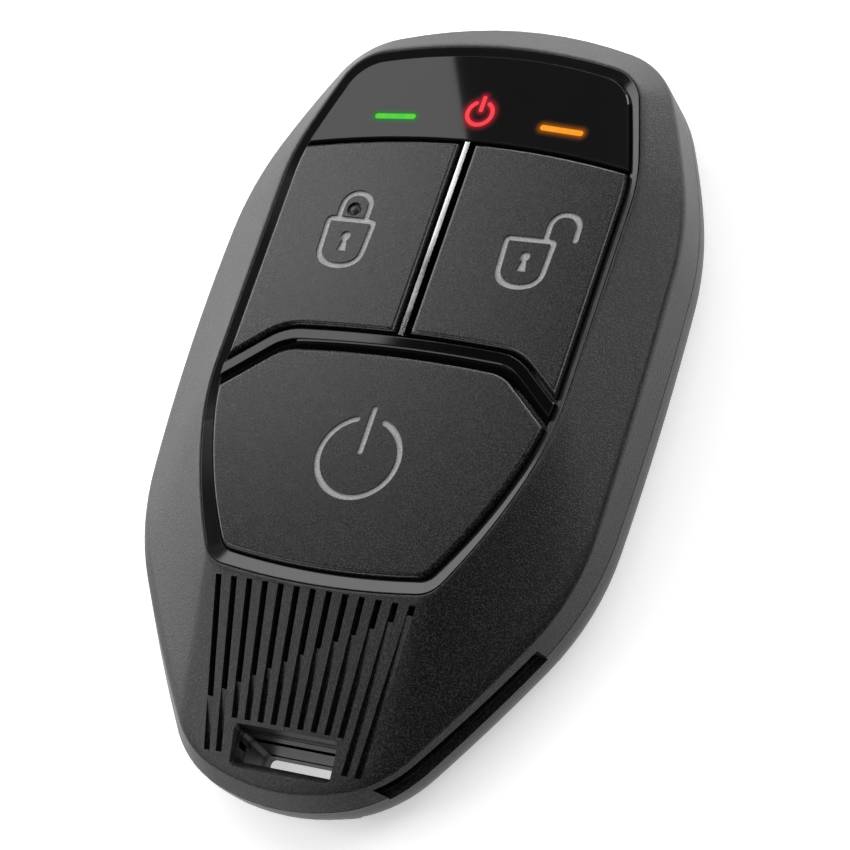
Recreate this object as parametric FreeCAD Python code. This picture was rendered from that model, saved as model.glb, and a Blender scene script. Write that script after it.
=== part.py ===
"""Car alarm remote: a two-shell case with three keys, an indicator window and a key-ring slot.

Millimetres, +Z up. The remote lies on its back. The origin is under the middle of the case,
X runs across it and +Y runs towards the indicator window.
"""
import FreeCAD
import Part
import math
import os
from FreeCAD import Vector

# Case, overall
case_length = 80.0
case_width = 47.4
case_height = 12.8
seam_z = 5.6
seam_gap = 0.12
wall = 1.6
floor = 1.5

# Case outline at the seam: corners by their distance from the side and from the nearer end
top_corner_inset = 7.0
top_end_bow = 3.2
upper_corner_drop = 20.4
lower_corner_rise = 23.4
bottom_corner_inset = 12.7
bottom_end_bow = 2.8
corner_cuts = (5.2, 6.0, 6.5, 3.8)
side_bows = (0.45, 0.5, 0.4)

# Shoulder, where the sloping face meets the side wall: inset and height at each corner
shoulder_insets = (0.3, 0.25, 0.75, 0.95)
shoulder_cuts = (3.6, 5.0, 5.5, 3.0)
shoulder_heights = (10.2, 10.0, 8.0, 7.5)
shoulder_lift = 0.6
shoulder_end_inset = 0.4
shoulder_foot_inset = 1.2
shoulder_foot_drop = 0.3
shoulder_soft = 0.16

# Opening in the face, its rim and the ledge under it: corners by their distance from the side,
# the upper two from the top end and the lower two from the foot
opening_insets = (8.4, 5.1, 5.4, 12.0)
opening_drops = (6.1, 17.45)
opening_rises = (36.7, 19.55)
opening_cuts = (2.8, 2.8, 3.9, 1.4)
opening_top_bow = 2.05
opening_bottom_bow = 0.85
opening_lower_bow = (0.75, -0.28)
rim_drop = 0.1
rim_soft = 0.28
shell = 1.8
ledge = 1.2

# Bezel between the rim and the keys
bezel_insets = (0.9, 0.85, 0.85, 1.3)
bezel_top_inset = 0.95
bezel_bottom_inset = 1.4
bezel_fit = 0.05
bezel_outer_drop = 0.15
bezel_inner_drop = 0.45
bezel_flange = 0.4
bezel_flange_height = 0.8
bezel_skirt = 0.25

# Keys
key_gap = 0.15
key_round = 0.45
key_skin = 1.0
key_flange = 0.5
key_flange_depth = 2.1
key_flange_height = 0.7
key_travel = 0.3
flange_gap = 0.1
power_key_y = -8.6

# Trim between the keys
trim_gap = 0.35
bridge_width = 1.75
bridge_bend = (11.7, 2.67)
bridge_bow = 0.5
bridge_slope = 0.87
bridge_bend_cut = 1.6
bridge_drop = 0.15
divider_width = 0.9
divider_drop = 0.05
trim_web = 1.1
trim_thickness = 1.0
trim_chamfer = 0.2

# Indicator window, an arc at its foot
window_foot_drop = 14.7
window_foot_radius = 84.0
window_thickness = 1.05
window_drop = 0.15
window_fit = 0.1
window_round = 0.15

# Indicators: green, red, amber
indicator_x = 8.7
indicator_drop = 12.85
red_indicator_drop = 11.6
guide_bar = (4.6, 1.4)
guide_square = 3.4
guide_fit = 0.05
led_size = (2.0, 1.25, 0.8)
led_gap = 0.15
baffle_wall = 0.6
baffle_foot_gap = 0.1

# Grille: slots that fan out towards the keys, cut through above a diagonal line
slot_count = 13
slot_width = 0.55
slot_pitch = 1.64
slot_pitch_loss = 0.0245
slot_top_gap = 0.0
slot_foot_gap = 0.5
slot_long_rise = 3.5
diagonal_x = (-8.45, 9.35)
diagonal_rises = (8.3, 17.7)
slot_shallow = 0.35
slot_deep = 0.6

# Key-ring slot
ring_slot_rise = 1.94
ring_slot_height = 4.06
ring_slot_top_half = 5.1
ring_slot_foot_half = 4.75
ring_slot_round = 0.5
ring_slot_mouth_round = 0.86
ring_slot_lip = 0.45
ring_slot_wall = 1.1
ring_slot_collar = 0.6
ring_slot_collar_rise = 1.2
ring_slot_collar_reach = 1.5

# Groove in the seam, where a coin opens the case
groove_rises = (3.0, 18.2)
groove_height = 1.15
groove_depth = 1.2
groove_step = 0.55
groove_step_width = 0.7

# Rear cover: rounded sides as (inset, height) steps, and the lip that enters the front cover
rear_round = 4.6
rear_round_steps = 4
lip_gap = 0.1
lip_thickness = 0.6
lip_height = 0.8
lip_root = 2.6
lip_end_rise = 9.0

# Coin cell and its pocket
cell_radius = 10.0
cell_height = 3.2
cell_rim = 0.4
cell_lid_inset = 1.0
cell_y = 9.5
pocket_gap = 0.3
pocket_wall = 0.9
pocket_height = 2.6
cell_rib = 5.0
contact_room = 1.3
contact_width = 4.0
contact_sheet = 0.25
contact_gap = 0.05
contact_rise = 1.0
cell_leaf = (2.0, 4.0, 3.0)

# Sounder under the grille
sounder_radius = 6.5
sounder_height = 3.2
sounder_rise = 15.4
sounder_port = 1.3
sounder_contact_x = 2.6
sounder_contact_width = 1.6
sounder_contact_inset = 1.4
sounder_leaf = (1.2, 1.6, 1.4)
sounder_port_depth = 1.0
sounder_rib_height = 2.0
sounder_rib = 3.6

# Circuit board
board_gap = 0.35
board_drop = 7.4
board_rise = 19.0
board_thickness = 1.0
peg_inset = 3.65
peg_y = 2.5
peg_size = 1.1
peg_gap = 0.08
peg_head = 1.9
peg_head_height = 0.45
lug_wall = 1.0
lug_width = 3.4

# Switches under the keys
switch_size = (4.2, 3.4, 1.4)
switch_x = 8.7
switch_y = 12.6
plunger_size = 1.7
plunger_proud = 0.6
plunger_fit = 0.05
plunger_seat = 0.6
post_size = 2.4
post_gap = 0.02

# Chips and antenna on the board
controller_size = (5.0, 5.0, 0.9)
controller_at = (0.0, 4.0)
radio_size = (4.0, 4.0, 0.9)
radio_at = (-12.5, -5.0)
crystal_size = (3.2, 2.5, 0.8)
crystal_at = (-12.5, -11.0)
antenna_span = 14.0
antenna_rise = 22.8
antenna_height = 1.6
antenna_wire = 0.8

# Places that follow from the sizes above
half_width = case_width/2-side_bows[1]
top_end = case_length/2
foot_end = -case_length/2
window_foot_y = top_end-window_foot_drop
indicator_y = top_end-indicator_drop
red_indicator_y = top_end-red_indicator_drop
ring_slot_foot_y = foot_end+ring_slot_rise
ring_slot_top_y = ring_slot_foot_y+ring_slot_height
sounder_y = foot_end+sounder_rise
antenna_y = foot_end+antenna_rise
peg_x = half_width-peg_inset

# Heights that follow from the sizes above
board_z = floor+cell_height+contact_room
board_top = board_z+board_thickness
rim_z = case_height-rim_drop
ledge_z = rim_z-shell
flange_top = case_height-key_flange_depth
web_z = flange_top+flange_gap
window_z = case_height-window_drop-window_thickness
plunger_top = board_top+switch_size[2]+plunger_proud
TALL = 60.0


def point(x, y, z=0.0):
    """A point, as a vector."""
    return Vector(x, y, z)


def mirrored(v):
    """The same vector on the other side of the middle plane."""
    return Vector(-v.x, v.y, v.z)


def moved_in(points, insets, closed=True):
    """Corners moved inwards (to the right of the way round) so each side moves by its inset."""
    count = len(points)
    result = []
    for i, p in enumerate(points):
        before = p-points[i-1] if closed or i > 0 else points[i+1]-p
        after = points[(i+1) % count]-p if closed or i < count-1 else p-points[i-1]
        a = Vector(before.x, before.y, 0).normalize()
        b = Vector(after.x, after.y, 0).normalize()
        normal = Vector(a.y+b.y, -a.x-b.x, 0)
        scale = 2.0/normal.dot(normal)
        result.append(p+normal*(insets[i]*scale))
    return result


def rounded_path(points, cuts, bows, closed=True, flat_corners=False):
    """Edges through corners that are cut back and joined by arcs or, where flat, by lines.

    A bow moves a side's middle.
    """
    count = len(points)
    spans = count if closed else count-1
    sides = []
    for i in range(spans):
        a = points[i]
        b = points[(i+1) % count]
        if bows[i].Length > 1e-6:
            sides.append(Part.Arc(a, (a+b)*0.5+bows[i], b).toShape())
        else:
            sides.append(Part.makeLine(a, b))
    starts = [cuts[i] for i in range(spans)]
    ends = [cuts[(i+1) % count] for i in range(spans)]
    edges = []
    for i in range(spans):
        if closed or i > 0:
            starts[i] = even_cut(sides[i-1], ends[i-1], sides[i], starts[i])
    for i in range(spans):
        if closed or i > 0:
            edges += corner_edge(sides[i-1], ends[i-1], sides[i], starts[i], flat_corners)
        edges.append(trimmed(sides[i], starts[i], ends[i], bows[i].Length > 1e-6))
    return edges


def along(side, distance):
    """The point and direction of a side at a distance from its start."""
    at = side.getParameterByLength(distance)
    return side.valueAt(at), side.tangentAt(at)


def trimmed(side, start, end, bowed):
    """The side between its two corner arcs."""
    a = along(side, start)[0]
    b = along(side, side.Length-end)[0]
    if not bowed:
        return Part.makeLine(a, b)
    return Part.Arc(a, along(side, (start+side.Length-end)/2)[0], b).toShape()


def even_cut(before, end, after, start):
    """How far back to cut the second side, so that one arc is tangent to both sides."""
    if end < 1e-6:
        return start
    a, ta = along(before, before.Length-end)
    for _ in range(12):
        b, tb = along(after, start)
        chord = b-a
        lean = chord.getAngle(ta)-chord.getAngle(tb)
        start -= chord.Length*math.sin(lean)*0.5
    return start


def corner_edge(before, end, after, start, flat):
    """The arc or line that takes off one corner; nothing at a sharp corner."""
    a, ta = along(before, before.Length-end)
    b, tb = along(after, start)
    chord = b-a
    if chord.Length < 1e-4:
        return []
    if flat:
        return [Part.makeLine(a, b)]
    middle = (a+b)*0.5
    out = (ta-tb).normalize()
    rise = chord.Length/2*math.tan(ta.getAngle(tb)/4)
    return [Part.Arc(a, middle+out*rise, b).toShape()]


def symmetric_loop(half, cuts, bows, foot_bow, top_bow, flat_corners=False):
    """A closed wire from the corners of its right half, listed from the top down."""
    points = half+[mirrored(p) for p in reversed(half)]
    all_bows = bows+[Vector(0, -foot_bow[0], foot_bow[1])]
    all_bows += [mirrored(b) for b in reversed(bows)]+[Vector(0, top_bow[0], top_bow[1])]
    all_cuts = list(cuts)+list(reversed(cuts))
    return Part.Wire(rounded_path(points, all_cuts, all_bows, True, flat_corners))


class Outline:
    """One level of the case: half corners, corner cuts, side bows and end bows."""

    def __init__(self, half, cuts, bows, foot_bow, top_bow, flat_corners=False):
        self.half = half
        self.cuts = cuts
        self.bows = bows
        self.foot_bow = foot_bow
        self.top_bow = top_bow
        self.flat_corners = flat_corners

    def wire(self):
        return symmetric_loop(self.half, self.cuts, self.bows, self.foot_bow, self.top_bow,
                              self.flat_corners)

    def plain(self):
        """The same outline with its corners cut straight, for places out of sight."""
        return Outline(self.half, self.cuts, self.bows, self.foot_bow, self.top_bow, True)

    def hidden(self):
        """The same outline with straight corners and long sides, for the inside of the case."""
        return Outline(self.half, self.cuts, [Vector()]*3, self.foot_bow, self.top_bow, True)

    def at(self, z):
        """The same outline, flat at one height."""
        half = [point(p.x, p.y, z) for p in self.half]
        bows = [Vector(b.x, b.y, 0) for b in self.bows]
        return Outline(half, self.cuts, bows, (self.foot_bow[0], 0), (self.top_bow[0], 0),
                       self.flat_corners)

    def inset(self, insets, foot=None, top=None):
        """The outline moved inwards; foot and top are the insets at the middle of the ends."""
        if not isinstance(insets, tuple):
            insets = (insets,)*4
        foot = insets[3] if foot is None else foot
        top = insets[0] if top is None else top
        loop = self.half+[mirrored(p) for p in reversed(self.half)]
        half = moved_in(loop, list(insets)+list(reversed(insets)))[:4]
        cuts = [max(c-0.42*i, 0.3) for c, i in zip(self.cuts, insets)]
        foot_bow = self.foot_bow[0]+(half[3].y-self.half[3].y)-foot
        top_bow = self.top_bow[0]-(half[0].y-self.half[0].y)-top
        return Outline(half, cuts, self.bows, (foot_bow, self.foot_bow[1]),
                       (top_bow, self.top_bow[1]), self.flat_corners)

    def prism(self, low, high):
        return Part.Face(self.at(low).wire()).extrude(Vector(0, 0, high-low))


def between(a, b, share):
    """The outline part of the way from one level to another."""
    def mix(u, v):
        return u*(1-share)+v*share
    half = [mix(p, q) for p, q in zip(a.half, b.half)]
    cuts = [mix(p, q) for p, q in zip(a.cuts, b.cuts)]
    bows = [mix(p, q) for p, q in zip(a.bows, b.bows)]
    foot = tuple(mix(p, q) for p, q in zip(a.foot_bow, b.foot_bow))
    top = tuple(mix(p, q) for p, q in zip(a.top_bow, b.top_bow))
    return Outline(half, cuts, bows, foot, top)


def loft(outlines):
    """A solid through several levels, straight between them."""
    return Part.makeLoft([o.wire() for o in outlines], True, True)


def box(size, centre, low):
    """A box by its size, the middle of its foot and its lowest height."""
    corner = Vector(centre[0]-size[0]/2, centre[1]-size[1]/2, low)
    return Part.makeBox(size[0], size[1], size[2], corner)


def rod(radius, low, high, x, y):
    """An upright cylinder between two heights."""
    return Part.makeCylinder(radius, high-low, Vector(x, y, low))


def slab(points, low, high):
    """An upright prism on a plain polygon."""
    loop = [point(x, y, low) for x, y in points]
    return Part.Face(Part.makePolygon(loop+[loop[0]])).extrude(Vector(0, 0, high-low))


def outward(a, b, distance):
    """A vector square to a side of the right half, out of the case."""
    return Vector(a.y-b.y, b.x-a.x, 0).normalize()*distance


def seam_outline():
    half = [point(half_width-top_corner_inset, top_end-top_end_bow, seam_z),
            point(half_width, top_end-upper_corner_drop, seam_z),
            point(half_width, foot_end+lower_corner_rise, seam_z),
            point(half_width-bottom_corner_inset, foot_end+bottom_end_bow, seam_z)]
    bows = [outward(a, b, bow) for a, b, bow in zip(half, half[1:], side_bows)]
    return Outline(half, list(corner_cuts), bows, (bottom_end_bow, 0), (top_end_bow, 0))


def lifted(bows):
    """The side bows with the rise of the long side between its corners."""
    return [bows[0], bows[1]+Vector(0, 0, shoulder_lift), bows[2]]


def shoulder_outline():
    flat = SEAM.inset(shoulder_insets, foot=shoulder_foot_inset, top=shoulder_end_inset)
    half = [point(p.x, p.y, z) for p, z in zip(flat.half, shoulder_heights)]
    bows = lifted(flat.bows)
    foot_bow = (flat.foot_bow[0], -shoulder_foot_drop)
    return Outline(half, list(shoulder_cuts), bows, foot_bow, flat.top_bow)


def opening_outline():
    ys = [top_end-drop for drop in opening_drops]+[foot_end+rise for rise in opening_rises]
    half = [point(half_width-inset, y, rim_z) for inset, y in zip(opening_insets, ys)]
    bows = [Vector(0.1, 0, 0), Vector(), Vector(*opening_lower_bow, 0)]
    return Outline(half, list(opening_cuts), bows, (opening_bottom_bow, 0), (opening_top_bow, 0))


SEAM = seam_outline()
SHOULDER = shoulder_outline()
OPENING = opening_outline()
BEZEL = OPENING.inset(bezel_insets, foot=bezel_bottom_inset, top=bezel_top_inset)
OPENING_FOOT_Y = foot_end+opening_rises[1]-opening_bottom_bow


def face_height(y):
    """Height of the grille face on the middle line."""
    foot_y = foot_end+shoulder_foot_inset
    foot_z = shoulder_heights[3]-shoulder_foot_drop
    share = (OPENING_FOOT_Y-y)/(OPENING_FOOT_Y-foot_y)
    return rim_z-(rim_z-foot_z)*share


def front_shell():
    """The outer form of the front cover, with its softened shoulder and rim."""
    rim = OPENING.inset(0.0).at(rim_z-rim_soft/2)
    brow = between(OPENING, SHOULDER, 0.0).inset(-rim_soft)
    levels = [SEAM, between(SHOULDER, SEAM, shoulder_soft*1.6)]
    levels += [between(SHOULDER, brow, shoulder_soft*0.8), brow, rim]
    return loft(levels)


def front_hollow():
    """The space inside the front cover, from the ledge down past the seam."""
    side = SEAM.inset(wall).hidden()
    low = side.at(seam_z-4.0)
    half = [point(p.x, p.y, z-0.75*wall) for p, z in zip(side.half, shoulder_heights)]
    foot_bow = (side.foot_bow[0], -shoulder_foot_drop)
    shoulder = Outline(half, side.cuts, side.bows, foot_bow, side.top_bow, True)
    top = OPENING.inset(-ledge).at(ledge_z).plain()
    end = ring_slot_top_y+ring_slot_wall
    keep = [box((TALL, TALL, TALL), (0, end-TALL/2), -TALL/2)]
    for side in (-1, 1):
        middle = side*(peg_x-lug_wall+TALL/2)
        keep.append(box((TALL, lug_width, TALL), (middle, peg_y), board_top))
    return loft([low, shoulder, top]).cut(keep)


def grille_slot(index):
    """One slot: cut through above the diagonal, then a floor that sinks towards the foot."""
    step = index-(slot_count-1)/2
    top_y = OPENING_FOOT_Y-slot_top_gap
    foot_y = ring_slot_top_y+slot_foot_gap
    if abs(step)*slot_pitch > ring_slot_top_half+slot_pitch:
        foot_y = foot_end+slot_long_rise

    def across(y):
        return step*(slot_pitch-slot_pitch_loss*(top_y-y))

    rise = (diagonal_rises[1]-diagonal_rises[0])/(diagonal_x[1]-diagonal_x[0])
    middle_y = foot_end+sum(diagonal_rises)/2
    split_y = foot_end+diagonal_rises[0]+rise*(across(middle_y)-diagonal_x[0])
    side = [(top_y-0.35, 0.0), (split_y, 0.0), (split_y, face_height(split_y)-slot_shallow),
            (foot_y, face_height(foot_y)-slot_deep), (foot_y, TALL), (top_y-0.35, TALL)]
    loop = [Vector(across(y)-slot_width/2, y, z) for y, z in side]
    return Part.Face(Part.makePolygon(loop+[loop[0]])).extrude(Vector(slot_width, 0, 0))


def ring_slot_wire(grow, z, corner=ring_slot_round, flat=False):
    """Outline of the key-ring slot at one height."""
    points = [point(ring_slot_top_half+grow, ring_slot_top_y+grow, z),
              point(ring_slot_foot_half+grow, ring_slot_foot_y-grow, z),
              point(-ring_slot_foot_half-grow, ring_slot_foot_y-grow, z),
              point(-ring_slot_top_half-grow, ring_slot_top_y+grow, z)]
    return Part.Wire(rounded_path(points, [corner]*4, [Vector()]*4, True, flat))


def ring_slot(grow, low, high, corner=ring_slot_round):
    """The slot as a prism, its corners taken off straight."""
    return Part.Face(ring_slot_wire(grow, low, corner, True)).extrude(Vector(0, 0, high-low))


def ring_slot_mouth():
    """The widening of the slot where it meets the sloping face."""
    lip_z = face_height(ring_slot_foot_y)-ring_slot_lip
    wires = [ring_slot_wire(0.0, lip_z, ring_slot_round, True),
             ring_slot_wire(2*ring_slot_lip, lip_z+2*ring_slot_lip, ring_slot_mouth_round)]
    mouth = Part.makeLoft(wires, True, True)
    reach = ring_slot_height+2*ring_slot_lip
    middle = ring_slot_top_y-seam_gap/2-reach/2
    return mouth.common(box((TALL, reach, TALL), (0, middle), 0))


def ring_slot_neck(grow, high):
    """The slot's upper end and sides, grown, over the height of the rear cover's collar."""
    reach = ring_slot_collar_reach+grow
    middle = ring_slot_top_y+grow-reach/2
    neck = ring_slot(grow, seam_z-seam_gap-0.2, high, 0.0)
    return neck.common(box((TALL, reach, TALL), (0, middle), 0))


def groove_band(inset, low, high):
    """A band of the case wall over the length of the groove, on the right."""
    band = SEAM.inset(-1.0).prism(low, high).cut(SEAM.inset(inset).prism(low-1, high+1))
    middle = foot_end+sum(groove_rises)/2
    length = groove_rises[1]-groove_rises[0]
    reach = box((TALL, length, TALL), (TALL/2, middle), -TALL/2)
    return band.common(reach)


def front_cover():
    body = front_shell().cut(front_hollow())
    body = body.cut(OPENING.prism(0, TALL))
    cuts = [grille_slot(i) for i in range(slot_count)]
    cuts += [ring_slot(0.0, 0, TALL), ring_slot_mouth()]
    collar_top = seam_z+ring_slot_collar_rise
    cuts.append(ring_slot_neck(ring_slot_collar+lip_gap, collar_top+lip_gap))
    cuts.append(groove_band(groove_depth, seam_z-1, seam_z+groove_height))
    return body.cut(Part.makeCompound(cuts)).fuse(board_pegs()).removeSplitter()


def board_pegs():
    """Pegs under the lugs that go through the board, with their heads staked under it."""
    pegs = []
    for x in (-peg_x, peg_x):
        pegs.append(box((peg_size, peg_size, board_thickness+0.3), (x, peg_y), board_z-0.1))
        pegs.append(box((peg_head, peg_head, peg_head_height), (x, peg_y),
                        board_z-peg_head_height))
    return pegs


def rear_levels(inset, lift, steps):
    """Levels of the rear cover from its rim down round its rounded side."""
    radius = rear_round-lift*0.4
    levels = []
    for i in range(steps):
        angle = math.pi/2*i/(steps-1)
        sink = radius*(1-math.cos(angle))+inset
        height = lift+radius*(1-math.sin(angle))
        levels.append(SEAM.inset(sink).at(height))
    return levels


def rear_shell():
    rim = SEAM.at(seam_z-seam_gap)
    return loft([rim]+rear_levels(0.0, 0.0, rear_round_steps))


def rear_hollow():
    levels = [SEAM.inset(wall).at(seam_z+1)]+rear_levels(wall, floor, 2)
    return loft([level.hidden() for level in levels])


def lip_ring():
    outer = SEAM.inset(wall+lip_gap).hidden().prism(seam_z-lip_root, seam_z+lip_height)
    inner = SEAM.inset(wall+lip_gap+lip_thickness).hidden().prism(0, TALL)
    ring = outer.cut(inner)
    end = foot_end+lip_end_rise
    return ring.cut(box((TALL, TALL, TALL), (0, end-TALL/2), -TALL/2))


def rear_cover():
    body = rear_shell().cut(rear_hollow())
    root = SEAM.inset(wall-0.2).hidden().prism(seam_z-lip_root, seam_z-seam_gap)
    root = root.cut(SEAM.inset(wall+lip_gap+lip_thickness).hidden().prism(0, TALL))
    body = body.fuse(root.common(rear_shell())).fuse(lip_ring())
    tube = ring_slot(ring_slot_wall, floor-0.5, seam_z-seam_gap, 0.0).common(rear_shell())
    collar = ring_slot_neck(ring_slot_collar, seam_z+ring_slot_collar_rise)
    body = body.fuse([tube, collar]+cell_pocket()+sounder_pocket())
    step = groove_band(groove_step_width, seam_z-groove_step, seam_z)
    return body.cut(Part.makeCompound([ring_slot(0.0, -1, TALL), step])).removeSplitter()


def four_ribs(radius, height, y, length):
    """Four straight ribs on the floor, each set askew against a round part."""
    ribs = []
    for turn in (45, 135, 225, 315):
        rib = box((pocket_wall, length, height+0.2), (radius+pocket_wall/2, 0), floor-0.2)
        rib.rotate(Vector(), Vector(0, 0, 1), turn)
        rib.translate(Vector(0, y, 0))
        ribs.append(rib)
    return ribs


def cell_pocket():
    """The raised ribs that hold the coin cell, open for the contact and for a finger."""
    return four_ribs(cell_radius+pocket_gap, pocket_height, cell_y, cell_rib)


def sounder_pocket():
    return four_ribs(sounder_radius+pocket_gap, sounder_rib_height, sounder_y, sounder_rib)


def chevron(offset):
    """The line of the bridge across the face, moved up by an offset."""
    x, y = bridge_bend
    reach = TALL/2-x
    end = point(x+reach, y-reach*bridge_slope)
    line = [mirrored(end), point(-x, y), point(x, y), end]
    line = moved_in(line, [-offset]*4, closed=False)
    bows = [Vector(), Vector(0, bridge_bow, 0), Vector()]
    cut = bridge_bend_cut+0.2*offset
    return rounded_path(line, [0, cut, cut, 0], bows, closed=False)


def beside_chevron(offset, side, low, high):
    """Everything above (side 1) or below (side -1) the bridge line."""
    edges = chevron(offset)
    first = edges[0].Vertexes[0].Point
    last = edges[-1].Vertexes[-1].Point
    far = side*TALL
    around = [last, point(last.x, far), point(first.x, far), first]
    edges += [Part.makeLine(a, b) for a, b in zip(around, around[1:])]
    face = Part.Face(Part.Wire(edges))
    face.translate(Vector(0, 0, low))
    return face.extrude(Vector(0, 0, high-low))


def window_disc(grow, low, high):
    """The large round whose edge is the foot of the window."""
    centre_y = window_foot_y-window_foot_radius
    return rod(window_foot_radius+grow, low, high, 0, centre_y)


def key_outline(grow):
    """The outer line of all keys; its corners are rounded only where they show."""
    outline = BEZEL.inset(key_gap-grow)
    return outline.plain() if grow else outline


def upper_keys(grow, low, high):
    """The lock and unlock keys' plan, both sides of the divider."""
    keys = key_outline(grow).prism(low, high)
    keys = keys.common(window_disc(grow-trim_gap, low, high))
    keys = keys.common(beside_chevron(bridge_width/2+trim_gap-grow, 1, low, high))
    return keys.cut(box((divider_width+2*(trim_gap-grow), TALL*2, TALL), (0, 0), low-1))


def power_plan(grow, low, high):
    """The power key's plan."""
    key = key_outline(grow).prism(low, high)
    return key.common(beside_chevron(-bridge_width/2-trim_gap+grow, -1, low, high))


def on_side(shape, side):
    """The part of a shape on one side of the middle plane; all of it for side 0."""
    if side == 0:
        return shape
    return shape.common(box((TALL, 3*TALL, TALL), (side*TALL/2, 0), 0))


def softened(shape, top, radius):
    """The shape with the edges of its top face eased by two bevels."""
    for share in (0.7, 0.35):
        edges = [e for e in shape.Edges if abs(e.BoundBox.ZMin-top) < 1e-4]
        shape = shape.makeChamfer(radius*share, edges)
    return shape


def key(plan, side, x, y):
    """A key: a skin with a rounded top, a flange that keeps it in, and a post to its switch."""
    flange_low = flange_top-key_flange_height
    cap = on_side(plan(0.0, flange_low, case_height), side)
    cap = softened(cap, case_height, key_round)
    flange = on_side(plan(key_flange, flange_low, flange_top), side)
    inside = on_side(plan(-key_skin, flange_low-1, case_height-key_skin), side)
    post_top = case_height-key_skin+0.1
    post_low = plunger_top+post_gap
    post = box((post_size, post_size, post_top-post_low), (x, y), post_low)
    return cap.fuse(flange).cut(inside).fuse(post).removeSplitter()


def keys():
    """The three keys; unlock is lock on the other side."""
    lock = key(upper_keys, -1, -switch_x, switch_y)
    return {"lock_button": lock, "unlock_button": lock.mirror(Vector(), Vector(1, 0, 0)),
            "power_button": key(power_plan, 0, 0.0, power_key_y)}


def bezel_frame():
    """The gloss frame round the keys, with the webs that carry the trim and the window."""
    outer = OPENING.inset(bezel_fit)
    low = web_z
    dish = loft([outer.at(low), outer.at(rim_z-bezel_outer_drop),
                 BEZEL.at(rim_z-bezel_inner_drop)])
    ring = dish.cut(BEZEL.prism(0, TALL))
    flange = OPENING.inset(-bezel_flange).plain()
    flange = flange.prism(ledge_z-bezel_flange_height, ledge_z)
    skirt = outer.plain().prism(ledge_z-bezel_flange_height, low+0.2).fuse(flange)
    skirt = skirt.cut(OPENING.inset(bezel_fit+bezel_skirt).plain().prism(0, TALL))
    web_top = case_height-bridge_drop-trim_thickness
    web = beside_chevron(-trim_web/2, 1, low, web_top)
    web = web.cut(beside_chevron(trim_web/2, 1, low-1, TALL))
    web = web.fuse(divider_bar(trim_web*0.6, low, web_top))
    shelf = BEZEL.prism(low, window_z).cut(window_disc(trim_gap/2, 0, TALL))
    inside = BEZEL.inset(-0.2).prism(low, TALL)
    body = ring.fuse([skirt, web.common(inside), shelf])
    for x, y, shape in guide_plans(guide_fit):
        body = body.cut(shape)
    return body.removeSplitter()


def divider_bar(width, low, high):
    """A bar on the middle line from the bridge to the window."""
    foot = bridge_bend[1]+bridge_bow
    bar = box((width, window_foot_y-foot, high-low), (0, (window_foot_y+foot)/2), low)
    return bar


def button_divider():
    top = case_height-divider_drop
    foot = bridge_bend[1]+bridge_bow+bridge_width/2+0.05
    head = window_foot_y-trim_gap/2
    low = case_height-bridge_drop-trim_thickness
    bar = box((divider_width, head-foot, top-low), (0, (head+foot)/2), low)
    edges = [e for e in bar.Edges if abs(e.BoundBox.ZMin-top) < 1e-4 and e.BoundBox.YLength > 1]
    return bar.makeChamfer(trim_chamfer, edges)


def button_bridge():
    top = case_height-bridge_drop
    low = top-trim_thickness
    band = beside_chevron(-bridge_width/2, 1, low, top)
    band = band.cut(beside_chevron(bridge_width/2, 1, low-1, TALL))
    band = band.common(BEZEL.inset(bezel_fit).prism(low, top))
    edges = [e for e in band.Edges if abs(e.BoundBox.ZMin-top) < 1e-4 and e.Length > 3]
    return band.makeChamfer(trim_chamfer, edges)


def indicator_window():
    top = case_height-window_drop
    body = BEZEL.inset(window_fit).prism(window_z, top)
    body = body.cut(window_disc(0, 0, TALL))
    edges = [e for e in body.Edges if abs(e.BoundBox.ZMin-top) < 1e-4]
    return body.makeChamfer(window_round, edges)


def guide_plans(grow):
    """The three light guides' plans, as tall shapes grown by a fit."""
    size = (guide_bar[0]+2*grow, guide_bar[1]+2*grow, TALL)
    green = box(size, (-indicator_x, indicator_y), 0)
    amber = box(size, (indicator_x, indicator_y), 0)
    square = guide_square+2*grow
    red = box((square, square, TALL), (0, red_indicator_y), 0)
    return [(-indicator_x, indicator_y, green), (0, red_indicator_y, red),
            (indicator_x, indicator_y, amber)]


def light_guides():
    low = board_top+led_size[2]+led_gap
    reach = box((TALL, TALL, window_z-0.05-low), (0, 0), low)
    reach.translate(Vector(0, TALL/2, 0))
    names = ("green", "red", "amber")
    plans = guide_plans(0.0)
    return {n+"_light_guide": p[2].common(reach) for n, p in zip(names, plans)}


def leds():
    names = ("green", "red", "amber")
    plans = guide_plans(0.0)
    return {n+"_led": box(led_size, (p[0], p[1]), board_top) for n, p in zip(names, plans)}


def light_baffle():
    """The black block that keeps the three lights apart."""
    low = board_top+baffle_foot_gap
    width = 2*indicator_x+guide_bar[0]+2*baffle_wall
    foot = min(indicator_y-guide_bar[1]/2, red_indicator_y-guide_square/2)-baffle_wall
    head = max(indicator_y+guide_bar[1]/2, red_indicator_y+guide_square/2)+baffle_wall
    body = box((width, head-foot, web_z-low), (0, (foot+head)/2), low)
    for x, y, shape in guide_plans(guide_fit):
        body = body.cut(shape)
    return body


def circuit_board():
    """The board, which follows the inside of the rear cover's lip."""
    board = SEAM.inset(wall+lip_gap+lip_thickness+board_gap).hidden()
    board = board.prism(board_z, board_top)
    foot = foot_end+board_rise
    head = top_end-board_drop
    board = board.common(box((TALL, head-foot, TALL), (0, (head+foot)/2), 0))
    for x in (-peg_x, peg_x):
        hole = peg_size+2*peg_gap
        board = board.cut(box((hole, hole, TALL), (x, peg_y), 0))
    return board


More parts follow.
